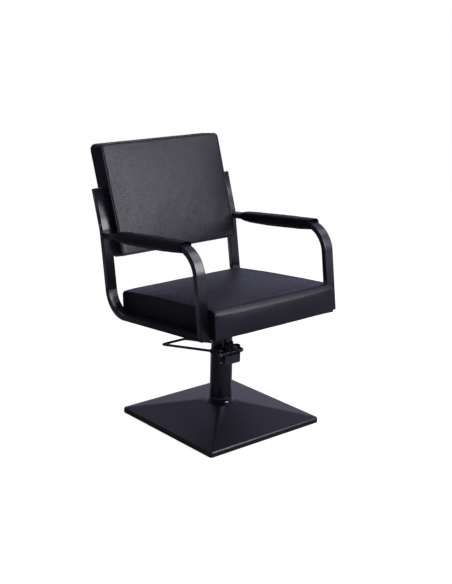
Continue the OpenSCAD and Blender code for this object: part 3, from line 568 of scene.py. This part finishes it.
def stations(half, step, edge=0.010):
    """Places across a cushion, evenly spaced and closer near its ends."""
    inner = half - edge
    count = ceil(2 * inner / step)
    middle = [-inner + 2 * inner * i / count for i in range(count + 1)]
    tight = [half - edge * (1 - t) for t in (0.35, 0.65, 0.85, 1.0)]
    return [-x for x in reversed(tight)] + middle + tight


def puffed(mesh, held, pressure, cap):
    """Cloth under inner pressure with its seams held, and each point's travel capped."""
    helper = bpy.data.objects.new("puffing", mesh)
    bpy.context.collection.objects.link(helper)
    helper.vertex_groups.new(name="held").add(held, 1.0, "REPLACE")
    cloth = helper.modifiers.new("cloth", "CLOTH")
    settings = cloth.settings
    settings.vertex_group_mass = "held"
    settings.quality = 6
    settings.mass = 0.3
    settings.tension_stiffness = settings.compression_stiffness = 15.0
    settings.bending_stiffness = 0.6
    settings.use_pressure = True
    settings.uniform_pressure_force = pressure
    settings.effector_weights.gravity = 0
    settings.air_damping = 4.0
    cloth.collision_settings.use_collision = False
    cloth.point_cache.frame_start, cloth.point_cache.frame_end = 1, PUFF_FRAMES
    scene = bpy.context.scene
    for number in range(1, PUFF_FRAMES + 1):
        scene.frame_set(number)
    blown = settled(helper)
    for vertex, moved in zip(mesh.vertices, blown.vertices):
        step = moved.co - vertex.co
        if step.length > 1e-7:
            vertex.co += step * (cap * tanh(step.length / cap) / step.length)
    bpy.data.objects.remove(helper)
    bpy.data.meshes.remove(blown)
    scene.frame_set(1)


def creased(mesh, amount, scale):
    """Slow unevenness of the padding, along the normals."""
    normals = [v.normal.copy() for v in mesh.vertices]
    for vertex, normal in zip(mesh.vertices, normals):
        spot = vertex.co * scale
        vertex.co += normal * amount * (noise.noise(spot) + 0.5 * noise.noise(spot * 2.3))


def subdivided(mesh, levels=1):
    """The mesh smoothed by subdivision."""
    made = with_modifiers(mesh, ("SUBSURF", {"levels": levels, "render_levels": levels}))
    made.shade_smooth()
    return made


# Points along the corners and the sides of each cushion's profile. The strip that closes a flat end is
# mirrored about the middle of a short side: the seat's front face or the back's top.
SEAT_ARCS, SEAT_SIDES = (9, 9, 6, 6), (10, 74, 10, 74)
SEAT_FACE_MIDDLE = SEAT_ARCS[0] + SEAT_SIDES[0] // 2
SEAT_ROLL_START = SEAT_ARCS[0] + SEAT_SIDES[0]
SEAT_ROLL = range(SEAT_ROLL_START - 1, SEAT_ROLL_START + SEAT_ARCS[1] + 2)
SEAT_SEWN = slice(6, 106)
BACK_ARCS, BACK_SIDES = (6, 6, 6, 6), (54, 6, 54, 6)
BACK_TOP_MIDDLE = BACK_ARCS[0] + BACK_SIDES[0] + BACK_ARCS[1] + BACK_SIDES[1] // 2


def seat_station(x):
    """The seat's profile at a place across it."""
    u = x / HALF_CUSHION
    near = max(0.0, abs(x) - (HALF_CUSHION - 0.004)) / 0.004
    edge = 0.0022 * (1 - sqrt(max(0.0, 1 - near * near)))
    corners = [(SEAT_FRONT + edge, 0.002, 0.004), (SEAT_FRONT + edge, FRONT_TOP - edge, 0.021),
               (SEAT_REAR - edge, REAR_TOP - edge, 0.016), (SEAT_REAR - edge, 0.002, 0.004)]
    ring = []
    for y, z in closed_profile(corners, SEAT_ARCS, SEAT_SIDES):
        v = (y - SEAT_MIDDLE) / HALF_SEAT
        s = (v + 1) / 2
        share = max(0.0, z) / FRONT_TOP
        rise = 0.005 * 4 * s * (1 - s) * share
        crown = 0.006 * (1 - abs(u) ** 3) * max(0.0, 1 - abs(v) ** 3) if z > 0.06 else 0.0
        swell = 0.004 * max(0.0, 1 - u * u) * min(1.0, z / 0.05)
        swell += 0.0065 * max(0.0, 1 - u ** 6) * sin(pi * min(1.0, share))
        swell *= abs(v) ** 8 if v < 0 else 0
        pull = 0.003 * max(0.0, 1 - v * v) * abs(u) ** 8
        ring.append((x - (pull if x > 0 else -pull), y - swell, z + rise + crown))
    return ring


def lines_along(mesh, rings, count):
    """The points of some of a mesh's rings."""
    return [[mesh.vertices[i].co.copy() for i in range(k * count, (k + 1) * count)] for k in rings]


def make_seat():
    """The seat's cover, the seams of its side panels and the lines of its stitches."""
    rings = [seat_station(x) for x in stations(HALF_CUSHION, 0.0072)]
    left_cap, right_cap = cap_rings(rings[0], 7), cap_rings(rings[-1], 7)
    count, left = len(rings[0]), len(left_cap)
    right = left + len(rings) - 1
    mesh = from_rings("seat", list(reversed(left_cap)) + rings + right_cap, mirror=SEAT_FACE_MIDDLE)
    held = [v.index for v in mesh.vertices
            if v.co.z < 0.006 or v.index % count in SEAT_ROLL or not left < v.index // count < right]
    puffed(mesh, held, 3.2, 0.007)
    creased(mesh, 0.0007, 16.0)
    seams = lines_along(mesh, (left, right), count)
    sewn = lines_along(mesh, (left + 4, right - 4), count)
    made = piece("seat_cushion_cover", subdivided(mesh), LEATHER, "seat", ("seat_cushion",), SEAT)
    return made, seams, sewn


def tapered(x, z, half, low, high):
    """A place across the back, which narrows towards its foot."""
    return x * (1 - BACK_TAPER / half * (high - z) / (high - low))


def back_station(x, depth_front, depth_rear, front_r, rear_r, face):
    """The back cushion's profile at a place across it."""
    reach = HALF_CUSHION - abs(x)
    corner = 0.017
    inset = corner - sqrt(max(0.0, corner ** 2 - max(0.0, corner - reach) ** 2))
    soft = 0.009 if face == "front" else 0.005
    edge = soft - sqrt(max(0.0, soft ** 2 - max(0.0, soft - reach) ** 2))
    top, low = BACK_TOP - inset, BACK_LOW + inset
    near = depth_front + (edge if face == "front" else 0)
    far = depth_rear - (edge if face == "rear" else 0)
    thin = abs(far - near)
    fr, rr = min(front_r, thin * 0.45), min(rear_r, thin * 0.45)
    near_rise, far_rise = (0.0, 0.005) if face == "front" else (0.005, 0.017)
    corners = [(near, low, min(fr, 0.006)), (near, top + near_rise, fr), (far, top + far_rise, rr),
               (far, low, rr)]
    loop = closed_profile(corners, BACK_ARCS, BACK_SIDES)
    return [(tapered(x, z, HALF_CUSHION, BACK_LOW, BACK_TOP), y, z) for y, z in loop]


def make_back_front():
    """The back's front pad, facing the sitter."""
    rings = [back_station(x, -0.040, -0.0101, 0.012, 0.0012, "front") for x in stations(HALF_CUSHION, 0.0072)]
    first, last = cap_rings(rings[0], 3), cap_rings(rings[-1], 3)
    mesh = from_rings("back_front", list(reversed(first)) + rings + last, mirror=BACK_TOP_MIDDLE)
    for vertex in mesh.vertices:
        if vertex.co.y < -0.03:
            u, v = vertex.co.x / HALF_CUSHION, (vertex.co.z - BACK_MIDDLE) / HALF_BACK
            vertex.co.y -= 0.006 * max(0.0, 1 - abs(u) ** 3) * max(0.0, 1 - abs(v) ** 3)
    held = [v.index for v in mesh.vertices
            if v.co.y > -0.031 or abs(v.co.x) > 0.262 or v.co.z > 0.290 or v.co.z < -0.094]
    puffed(mesh, held, 3.0, 0.006)
    creased(mesh, 0.0006, 14.0)
    made = piece("back_cushion_cover", subdivided(mesh), LEATHER, "seat", ("back_cushion",), BACK)
    return made


def make_back_shell():
    """The back's rear upholstery."""
    rings = [back_station(x, -0.0097, 0.038, 0.0012, 0.013, "rear") for x in stations(HALF_CUSHION, 0.0090)]
    first, last = cap_rings(rings[0], 4), cap_rings(rings[-1], 4)
    mesh = from_rings("back_shell", list(reversed(first)) + rings + last, mirror=BACK_TOP_MIDDLE)
    held = [v.index for v in mesh.vertices
            if v.co.y < 0.027 or abs(v.co.x) > 0.262 or v.co.z > 0.288 or v.co.z < -0.092]
    puffed(mesh, held, 1.5, 0.004)
    creased(mesh, 0.0004, 14.0)
    made = piece("back_shell_cover", subdivided(mesh), LEATHER, "seat", ("back_panel",), BACK)
    return made


def outline_loop(half, low, high, corner):
    """A rounded rectangle round the back cushion, as (x, z)."""
    loop = [spot for arc in corner_arcs(half, low, high, corner, 8) for spot in arc]
    path = []
    for k, (xa, za) in enumerate(loop):
        xb, zb = loop[(k + 1) % len(loop)]
        count = max(1, round(sqrt((xb - xa) ** 2 + (zb - za) ** 2) / 0.006))
        path += [(xa + (xb - xa) * i / count, za + (zb - za) * i / count) for i in range(count)]
    return [(tapered(x, z, half, low, high), z) for x, z in path]


# Stitches, by Geometry Nodes


def geometry_group(name, inputs, output):
    """A Geometry Nodes tree with named inputs, each given by its value or its kind."""
    tree = bpy.data.node_groups.new(name, "GeometryNodeTree")
    for label, value in inputs.items():
        kind = "Float" if isinstance(value, float) else value
        socket = tree.interface.new_socket(label, in_out="INPUT", socket_type="NodeSocket" + kind)
        if kind == "Float":
            socket.default_value = value
    tree.interface.new_socket(output, in_out="OUTPUT", socket_type="NodeSocketGeometry")
    return tree, wire(tree, "NodeGroupInput").outputs


def make_stitch_tree():
    """Stitches of thread along a path."""
    tree, given = geometry_group("stitch_row", {"Path": "Geometry", "Pitch": 0.005, "Length": 0.0036,
                                                "Thickness": 0.0008, "Thread": "Material"}, "Row")
    line = wire(tree, "GeometryNodeMeshToCurve", {"Mesh": given["Path"]}).outputs["Curve"]
    spots = wire(tree, "GeometryNodeCurveToPoints", {"Curve": line, "Length": given["Pitch"]},
                 mode="LENGTH").outputs
    ball = wire(tree, "GeometryNodeMeshUVSphere", {"Segments": 6, "Rings": 5, "Radius": 0.5}).outputs["Mesh"]
    size = wire(tree, "ShaderNodeCombineXYZ", {"X": given["Thickness"], "Y": given["Thickness"],
                                               "Z": given["Length"]}).outputs[0]
    sewn = wire(tree, "GeometryNodeInstanceOnPoints", {
        "Points": spots["Points"], "Instance": ball, "Rotation": spots["Rotation"], "Scale": size})
    real = wire(tree, "GeometryNodeRealizeInstances", {"Geometry": sewn.outputs[0]}).outputs["Geometry"]
    smooth = wire(tree, "GeometryNodeSetShadeSmooth", {"Geometry": real}).outputs["Geometry"]
    threaded = wire(tree, "GeometryNodeSetMaterial", {"Geometry": smooth, "Material": given["Thread"]})
    wire(tree, "NodeGroupOutput", {"Row": threaded.outputs["Geometry"]})
    return tree


STITCHES = make_stitch_tree()


def set_inputs(modifier, **values):
    """A Geometry Nodes modifier's inputs, set by their identifiers."""
    for item in modifier.node_group.interface.items_tree:
        if item.item_type == "SOCKET" and item.in_out == "INPUT" and item.name.lower() in values:
            modifier[item.identifier] = values[item.name.lower()]


def stitch_rows(name, paths):
    """Rows of thread along open or closed paths, as one plain mesh."""
    mesh = bpy.data.meshes.new(name)
    points, edges = [], []
    for path, closed in paths:
        base = len(points)
        points += [tuple(p) for p in path]
        edges += [(base + i, base + i + 1) for i in range(len(path) - 1)]
        if closed:
            edges.append((len(points) - 1, base))
    mesh.from_pydata(points, edges, [])
    helper = bpy.data.objects.new("sewing", mesh)
    bpy.context.collection.objects.link(helper)
    rows = helper.modifiers.new("rows", "NODES")
    rows.node_group = STITCHES
    set_inputs(rows, thread=THREAD)
    sewn = settled(helper)
    bpy.data.objects.remove(helper)
    piece(name, sewn, THREAD, "seat")


def surface_of(made):
    """The piece's surface, to lay seams on."""
    return BVHTree.FromObject(made, bpy.context.evaluated_depsgraph_get())


def laid_on(tree, points, lift):
    """Points moved to the nearest place on a surface, a little above it."""
    laid = []
    for point in points:
        spot, normal, _, _ = tree.find_nearest(point)
        laid.append(spot + normal * lift)
    return laid


seat_cover, seat_seams, seat_rows = make_seat()
seat_surface = surface_of(seat_cover)
back_surface = surface_of(make_back_front())
make_back_shell()

# Welts round both side panels of the seat, and the rows of thread beside them
for hand, seam in zip(("left", "right"), seat_seams):
    welt = cord_along("welt", laid_on(seat_surface, [SEAT @ p for p in seam], 0.0010), 0.0023, closed=True)
    piece(f"seat_welt_{hand}", welt, WELT_PAINTED_HIGHLIGHT, "seat")
stitch_rows("seat_stitches", [(laid_on(seat_surface, [SEAT @ p for p in row[SEAT_SEWN]], 0.0001), False)
                              for row in seat_rows])

# The back's front welt and its rear seam
front_welt = [BACK @ Vector((x, -0.0375, z)) for x, z in outline_loop(0.2725, -0.1045, 0.3015, 0.018)]
welt = cord_along("welt", laid_on(back_surface, front_welt, 0.0008), 0.0022, closed=True)
piece("back_front_welt", welt, WELT_PAINTED_HIGHLIGHT, "seat")
rear_seam = [BACK @ Vector((x, -0.0099, z)) for x, z in outline_loop(0.2734, -0.1054, 0.3070, 0.0174)]
piece("back_rear_welt", cord_along("welt", rear_seam, 0.0013, closed=True), WELT_PAINTED_HIGHLIGHT, "seat")


# Arm pads

# Share of the pad's length, then the padding at the sides, on top and below, over PADDING
PAD_STATIONS = ((0, .85, .9, 1.7), (.02, 1, 1, 1.9), (.15, 1.15, 1.05, 2.3), (.35, 1.2, 1.1, 2.5),
                (.6, 1.2, 1.1, 2.4), (.86, 1.1, 1.05, 1.8), (.96, .8, .8, 1), (1, .35, .35, .35))
PADDING = 0.0055


def pad_padding(share):
    """Padding at the sides, on top and below, at a share of the pad's length."""
    for a, b in zip(PAD_STATIONS, PAD_STATIONS[1:]):
        if share <= b[0]:
            t = (share - a[0]) / (b[0] - a[0])
            return [PADDING * (a[i] + (b[i] - a[i]) * t) for i in (1, 2, 3)]
    return [PADDING * v for v in PAD_STATIONS[-1][1:]]


def sleeve_ring(y, side, top, low, corner):
    """The pad's outline at a place along the arm tube, with padding at its sides, on top and below."""
    arcs = corner_arcs(TUBE[0] / 2 + side, -HALF_TUBE - low, HALF_TUBE + top, corner, 6)
    section = []
    for arc, following in zip(arcs, arcs[1:] + arcs[:1]):
        (xa, za), (xb, zb) = arc[-1], following[0]
        section += arc + [(xa + (xb - xa) * i / 7, za + (zb - za) * i / 7) for i in range(1, 7)]
    return [(x, y, z) for x, z in section]


def domed(ring, rise):
    """The ring with its top crowned and its bottom slack by a third of that."""
    half = max(p[0] for p in ring)
    return [(x, y, z + (rise if z > 0 else -rise / 3) * (1 - (x / half) ** 2) * min(1.0, abs(z) / 0.010))
            for x, y, z in ring]


def blended(ring, other, share, y):
    """A ring between two rings, at a place along the arm."""
    return [(a[0] + (b[0] - a[0]) * share, y, a[2] + (b[2] - a[2]) * share) for a, b in zip(ring, other)]


def make_arm_pad(side, hand):
    """A padded sleeve as one skin: its outside, its rear, the tunnel for the tube and its front."""
    count = 76
    rings = []
    for k in range(count + 1):
        share = k / count
        rings.append(domed(sleeve_ring(PAD_LENGTH * share + PAD_FRONT, *pad_padding(share), 0.0115), 0.0030))
    mouth, tail = rings[0], rings[-1]
    inner = sleeve_ring(0, 0.0004, 0.0004, 0.0004, 0.004)
    front = [blended(mouth, inner, share, PAD_FRONT + y) for share, y in (
        (0.12, -0.0008), (0.28, -0.0002), (0.40, 0.0015), (0.45, 0.006), (0.9, 0.010))]
    tunnel = [blended(inner, inner, 0, y) for y in (-0.165, 0.0, 0.190)]
    rear = [blended(inner, tail, share, PAD_FRONT + PAD_LENGTH + y)
            for share, y in ((0.3, -0.0004), (0.8, 0.0004))]
    mesh = from_rings("arm_pad", rings + rear[::-1] + tunnel[::-1] + front[::-1], closed_path=True)
    normals = [v.normal.copy() for v in mesh.vertices]
    for vertex, normal in zip(mesh.vertices, normals):
        x, y, z = vertex.co
        outer = max(0.0, min(1.0, (max(abs(x) - 0.0215, abs(z) - 0.0115)) / 0.002))
        drag = noise.noise(Vector((x * 20 + 7 * side, y * 26, z * 60)))
        fine = noise.noise(Vector((x * 60, y * 75 + 3 * side, z * 90)))
        vertex.co += normal * outer * (0.0009 * drag + 0.0004 * fine)
    made = piece(f"arm_pad_{hand}_cover", subdivided(mesh), PAD_HIDE, "seat", (f"arm_pad_{hand}",),
                 arm_frame(side))
    return made


for side, hand in SIDES:
    surface = surface_of(make_arm_pad(side, hand))
    for face in (-1, 1):
        row = [arm_frame(side) @ Vector((face * 0.028, PAD_SEAM_FRONT + PAD_SEAM_LENGTH * i / 60, -0.0135))
               for i in range(61)]
        seam = cord_along("seam", laid_on(surface, row, 0.0002), 0.0011)
        piece(f"arm_pad_{hand}_seam_{'inner' if face * side < 0 else 'outer'}", seam, WELT_PAINTED_HIGHLIGHT, "seat")


# Welds, where the tubes of the side frames meet


def weld_ring(at, cut, x, grow=0.0002):
    """The tube's outline in the face of a cut, a little proud of it."""
    face = Vector((-sin(cut), cos(cut)))
    loop = []
    for across, rise in tube_section((TUBE[0] + 2 * grow, TUBE[1] + 2 * grow), 0.003):
        spot = Vector(at) + rise * face
        loop.append(SEAT @ Vector((x + across, spot.x, spot.y)))
    return loop


def bead(name, loop, radius):
    """A weld bead round a joint."""
    mesh = cord_along(name, loop, radius, closed=True, sides=6)
    creased(mesh, 0.0002, 420)
    piece(name, mesh, FRAME, "seat")


for side, hand in SIDES:
    x = side * RAIL_X
    bead(f"weld_rear_{hand}", weld_ring(weld, radians(90) - REAR_LEAN, x), 0.0007)
    bead(f"weld_arm_{hand}", weld_ring(arm_stop, -REAR_LEAN, x, 0.0003), 0.0012)


# Screws of the back


def round_ring(radius, z, sides):
    """A circle of points round the z axis."""
    return [(radius * cos(2 * pi * i / sides), radius * sin(2 * pi * i / sides), z) for i in range(sides)]


def make_button_head():
    """A domed screw head with a hexagon socket, its face up z."""
    work = bmesh.new()
    sides = 24
    profile = ((0.0062, 0.0), (0.0064, 0.0006), (0.0063, 0.0012), (0.0058, 0.0022), (0.0049, 0.0030),
               (0.0037, 0.0034))
    rings = [[work.verts.new(spot) for spot in round_ring(radius, z, sides)] for radius, z in profile]
    for depth in (0.0034, 0.0016):
        ring = []
        for i in range(sides):
            a = 2 * pi * i / sides
            flat = 0.0020 / cos((a + pi / 6) % (pi / 3) - pi / 6)
            ring.append(work.verts.new((flat * cos(a), flat * sin(a), depth)))
        rings.append(ring)
    for a, b in zip(rings, rings[1:]):
        for i in range(sides):
            work.faces.new((a[i], a[(i + 1) % sides], b[(i + 1) % sides], b[i]))
    work.faces.new(rings[-1])
    work.faces.new(list(reversed(rings[0])))
    mesh = bpy.data.meshes.new("button_head")
    work.to_mesh(mesh)
    work.free()
    outward(mesh)
    return mesh


def make_fixing_tree():
    """Copies of one fixing at places, turned to their facing."""
    tree, given = geometry_group("fixings", {
        "Places": "Geometry", "Fixing": "Object", "Size": 1.0, "Metal": "Material"}, "Fixed")
    one = wire(tree, "GeometryNodeObjectInfo", {"Object": given["Fixing"]}).outputs["Geometry"]
    facing = wire(tree, "GeometryNodeInputNamedAttribute", {"Name": "facing"}, data_type="FLOAT_VECTOR")
    turn = wire(tree, "FunctionNodeAlignRotationToVector", {"Vector": facing.outputs["Attribute"]}, axis="Z")
    put = wire(tree, "GeometryNodeInstanceOnPoints", {
        "Points": given["Places"], "Instance": one, "Rotation": turn.outputs[0], "Scale": given["Size"]})
    real = wire(tree, "GeometryNodeRealizeInstances", {"Geometry": put.outputs[0]}).outputs["Geometry"]
    done = wire(tree, "GeometryNodeSetMaterial", {"Geometry": real, "Material": given["Metal"]})
    wire(tree, "NodeGroupOutput", {"Fixed": done.outputs["Geometry"]})
    return tree


FIXINGS = make_fixing_tree()


def fixings(name, fixing, spots, material, body, stands_for):
    """Copies of a fixing at (place, facing) spots, as one plain mesh."""
    mesh = bpy.data.meshes.new(name)
    mesh.from_pydata([tuple(at) for at, _ in spots], [], [])
    facing = mesh.attributes.new("facing", "FLOAT_VECTOR", "POINT")
    facing.data.foreach_set("vector", [c for _, way in spots for c in way])
    one = bpy.data.objects.new("fixing", fixing)
    helper = bpy.data.objects.new("fixing_places", mesh)
    for made in (one, helper):
        bpy.context.collection.objects.link(made)
    step = helper.modifiers.new("fixings", "NODES")
    step.node_group = FIXINGS
    set_inputs(step, fixing=one, metal=material)
    made = settled(helper)
    bpy.data.objects.remove(helper)
    bpy.data.objects.remove(one)
    made.shade_smooth()
    made.set_sharp_from_angle(angle=radians(38))
    piece(name, made, material, body, stands_for)


SCREW_SPOTS = [(BACK @ Vector((side * (RAIL_X + TUBE[0] / 2), 0, share * POST_LENGTH)), Vector((side, 0, 0)))
               for side, _ in SIDES for share in (0.115, 0.8)]
fixings("back_screw_heads", make_button_head(), SCREW_SPOTS, ZINC, "seat", ("back_screws",))

# The lever's casting: a web beside a socket, sleeves on the shaft, and a finger and a rib
WEB = [(-0.006, -0.0065), (0.008, -0.0075), (0.030, -0.0085), (0.051, -0.004), (0.055, 0.004), (0.045, 0.011),
       (0.018, 0.0125), (0.002, 0.0105), (-0.007, 0.004)]
web_mesh = from_rings("web", [[(near if y < 0.028 else far, y, z) for y, z in WEB]
                              for near, far in ((0.0395, 0.0450), (0.0466, 0.0512))])
web_mesh = with_modifiers(web_mesh, ("BEVEL", {"width": 0.0018, "segments": 3, "limit_method": "ANGLE",
                                               "angle_limit": radians(20)}))
web_mesh.shade_smooth()
web_mesh.set_sharp_from_angle(angle=radians(50))
piece("lever_web", web_mesh, LEVER_PAINT, "pedal", place=LEVER)
for side, hand in SIDES:
    sleeve = from_rings("sleeve", [round_ring(radius, z, 32) for radius, z in (
        (0.0080, 0.0092), (0.0083, 0.0096), (0.0083, 0.0288), (0.0078, 0.0295))])
    sleeve.transform(Matrix.Rotation(radians(90 * side), 4, "Y"))
    sleeve.set_sharp_from_angle(angle=radians(40))
    piece(f"lever_sleeve_{hand}", sleeve, LEVER_PAINT, "pedal", place=LEVER)
FINGER = [(-0.0195, 0.0, 0.003), (-0.0195, -0.003, 0.014), (-0.0190, -0.007, 0.026),
          (-0.0170, -0.0095, 0.036), (-0.0120, -0.0105, 0.0425), (-0.0050, -0.0105, 0.0450)]
RIB = [(0.0225, 0.0, 0.002), (0.0212, -0.002, 0.008), (0.0150, -0.003, 0.0130), (0.0070, -0.004, 0.0155),
       (-0.0020, -0.0055, 0.0200), (-0.0090, -0.0075, 0.0265)]
for name, path, radius in (("lever_finger", FINGER, 0.0072), ("lever_rib", RIB, 0.0092)):
    casting = with_modifiers(cord_along(name, path, radius, sides=16),
                             ("SUBSURF", {"levels": 2, "render_levels": 2}))
    piece(name, casting, LEVER_PAINT, "pedal", place=LEVER)

# Rigid pieces with broken edges
for name, width in (("base_cover", 0.0022), ("pump_block", 0.0014), ("hub_plate", 0.0008),
                    ("post_caps", 0.0010), ("lever_toe", 0.0006), ("pedal_socket_left", 0.0006),
                    ("pedal_socket_right", 0.0006), ("cylinder_head", 0.0010), ("column_collar", 0.0006)):
    softened(name, width)


# Studio: pale paper on the floor, cool walls and two softboxes

floor = bpy.data.meshes.new("studio_floor")
FLOOR_REACH = 90
floor.from_pydata([(FLOOR_REACH * sx, FLOOR_REACH * sy, -0.0005)
                   for sx, sy in ((-1, -1), (1, -1), (1, 1), (-1, 1))], [], [(0, 1, 2, 3)])
floor_object = bpy.data.objects.new("studio_floor", floor)
bpy.context.collection.objects.link(floor_object)


def emptied(made):
    """The node tree of a new material or world, with nothing in it."""
    made.use_nodes = True
    made.node_tree.nodes.clear()
    return made.node_tree


def ray_kinds(tree):
    """Whether a ray comes from the camera, and whether it comes off gloss or through glass."""
    path = wire(tree, "ShaderNodeLightPath").outputs
    mirrored = sums(tree, "MAXIMUM", path["Is Glossy Ray"], path["Is Transmission Ray"])
    return path["Is Camera Ray"], mirrored


def dot(tree, vector, way):
    return wire(tree, "ShaderNodeVectorMath", {0: vector, 1: way}, operation="DOT_PRODUCT").outputs["Value"]


def glow(tree, kind, colour, strength):
    return wire(tree, kind, {"Color": (*colour, 1), "Strength": strength}).outputs[0]


def added(tree, a, b):
    return wire(tree, "ShaderNodeAddShader", {0: a, 1: b}).outputs[0]


def mixed(tree, factor, a, b):
    return wire(tree, "ShaderNodeMixShader", {0: factor, 1: a, 2: b}).outputs[0]


def make_paper():
    """White for the camera, with the chair's shadow. For gloss it is darker, with cool light on two sides."""
    paper = bpy.data.materials.new("studio_paper")
    tree = emptied(paper)
    direct, mirrored = ray_kinds(tree)
    shade = sums(tree, "SUBTRACT", 0.50, plus(tree, times(tree, direct, 0.14), times(tree, mirrored, 0.34)))
    grey = wire(tree, "ShaderNodeCombineColor", {"Red": shade, "Green": shade, "Blue": shade}).outputs[0]
    plain = wire(tree, "ShaderNodeBsdfDiffuse", {"Color": grey}).outputs[0]
    spot = wire(tree, "ShaderNodeTexCoord").outputs["Object"]
    away = wire(tree, "ShaderNodeVectorMath", {0: spot}, operation="LENGTH").outputs["Value"]
    in_front = spread(tree, dot(tree, spot, (0.15, -1.0, 0.0)), 0.2, 3.0, 0.02, 0.40)
    behind = times(tree, spread(tree, away, 0.5, 1.7, 0.34, 0.0),
                   spread(tree, dot(tree, spot, (0.6, 0.8, 0.0)), 0.1, 0.7))
    bright = glow(tree, "ShaderNodeEmission", (1, 1, 1), times(tree, direct, 0.91))
    sheet = times(tree, mirrored, plus(tree, in_front, behind))
    cool = glow(tree, "ShaderNodeEmission", (0.80, 0.76, 1.0), sheet)
    wire(tree, "ShaderNodeOutputMaterial", {"Surface": added(tree, plain, added(tree, bright, cool))})
    return paper


def make_room():
    """White for the camera, an even cool light on surfaces, and a brighter wall on one side for gloss."""
    room = bpy.data.worlds.new("studio")
    tree = emptied(room)
    direct, mirrored = ray_kinds(tree)
    way = wire(tree, "ShaderNodeTexCoord").outputs["Generated"]
    height = wire(tree, "ShaderNodeSeparateXYZ", {"Vector": way}).outputs["Z"]
    facing = spread(tree, dot(tree, way, (0.75, 0.55, -0.45)), -1.0, 1.0)
    wall = times(tree, sums(tree, "POWER", facing, 2.5), spread(tree, height, 0.02, 0.13, 0.15, 1.0))
    ambient = glow(tree, "ShaderNodeBackground", (0.82, 0.80, 1.0), 0.32)
    walls = glow(tree, "ShaderNodeBackground", (0.72, 0.70, 1.0), plus(tree, 0.03, times(tree, wall, 0.62)))
    white = glow(tree, "ShaderNodeBackground", (1, 1, 1), 1.0)
    shown = mixed(tree, direct, mixed(tree, mirrored, ambient, walls), white)
    wire(tree, "ShaderNodeOutputWorld", {"Surface": shown})
    return room


floor.materials.append(make_paper())
bpy.context.scene.world = make_room()


def softbox(name, at, towards, size, power, tint):
    """A square lamp turned towards a place."""
    lamp = bpy.data.lights.new(name, "AREA")
    lamp.shape = "RECTANGLE"
    lamp.size = lamp.size_y = size
    lamp.energy = power
    lamp.color = tint
    made = bpy.data.objects.new(name, lamp)
    bpy.context.collection.objects.link(made)
    made.location = at
    made.rotation_euler = (Vector(towards) - Vector(at)).to_track_quat("-Z", "Y").to_euler()


softbox("front_box", at=(1.22, -2.40, 2.00), towards=(0, 0.05, 0.80), size=1.6, power=52,
        tint=(0.93, 0.92, 1.0))
softbox("high_box", at=(1.46, -0.82, 2.88), towards=(-0.1, -0.1, 0.7), size=1.3, power=14,
        tint=(0.92, 0.91, 1.0))

# The photograph's camera
YAW, PITCH, ROLL = radians(40.82), radians(16.47), radians(1.37)
CAMERA_AT = (-2.51443, -2.92807, 1.63082)
ahead = Vector((sin(YAW) * cos(PITCH), cos(YAW) * cos(PITCH), -sin(PITCH)))
level = Vector((cos(YAW), -sin(YAW), 0))
upright = level.cross(ahead)
across = cos(ROLL) * level + sin(ROLL) * upright
above = -sin(ROLL) * level + cos(ROLL) * upright
lens = bpy.data.cameras.new("photo_view")
lens.lens, lens.sensor_width = 68.39, 36.0
lens.clip_end = 400
camera = bpy.data.objects.new("photo_view", lens)
bpy.context.collection.objects.link(camera)
camera.matrix_world = Matrix.Translation(CAMERA_AT) @ Matrix((across, above, -ahead)).transposed().to_4x4()
bpy.context.scene.camera = camera
bpy.context.scene.view_settings.view_transform = "Standard"
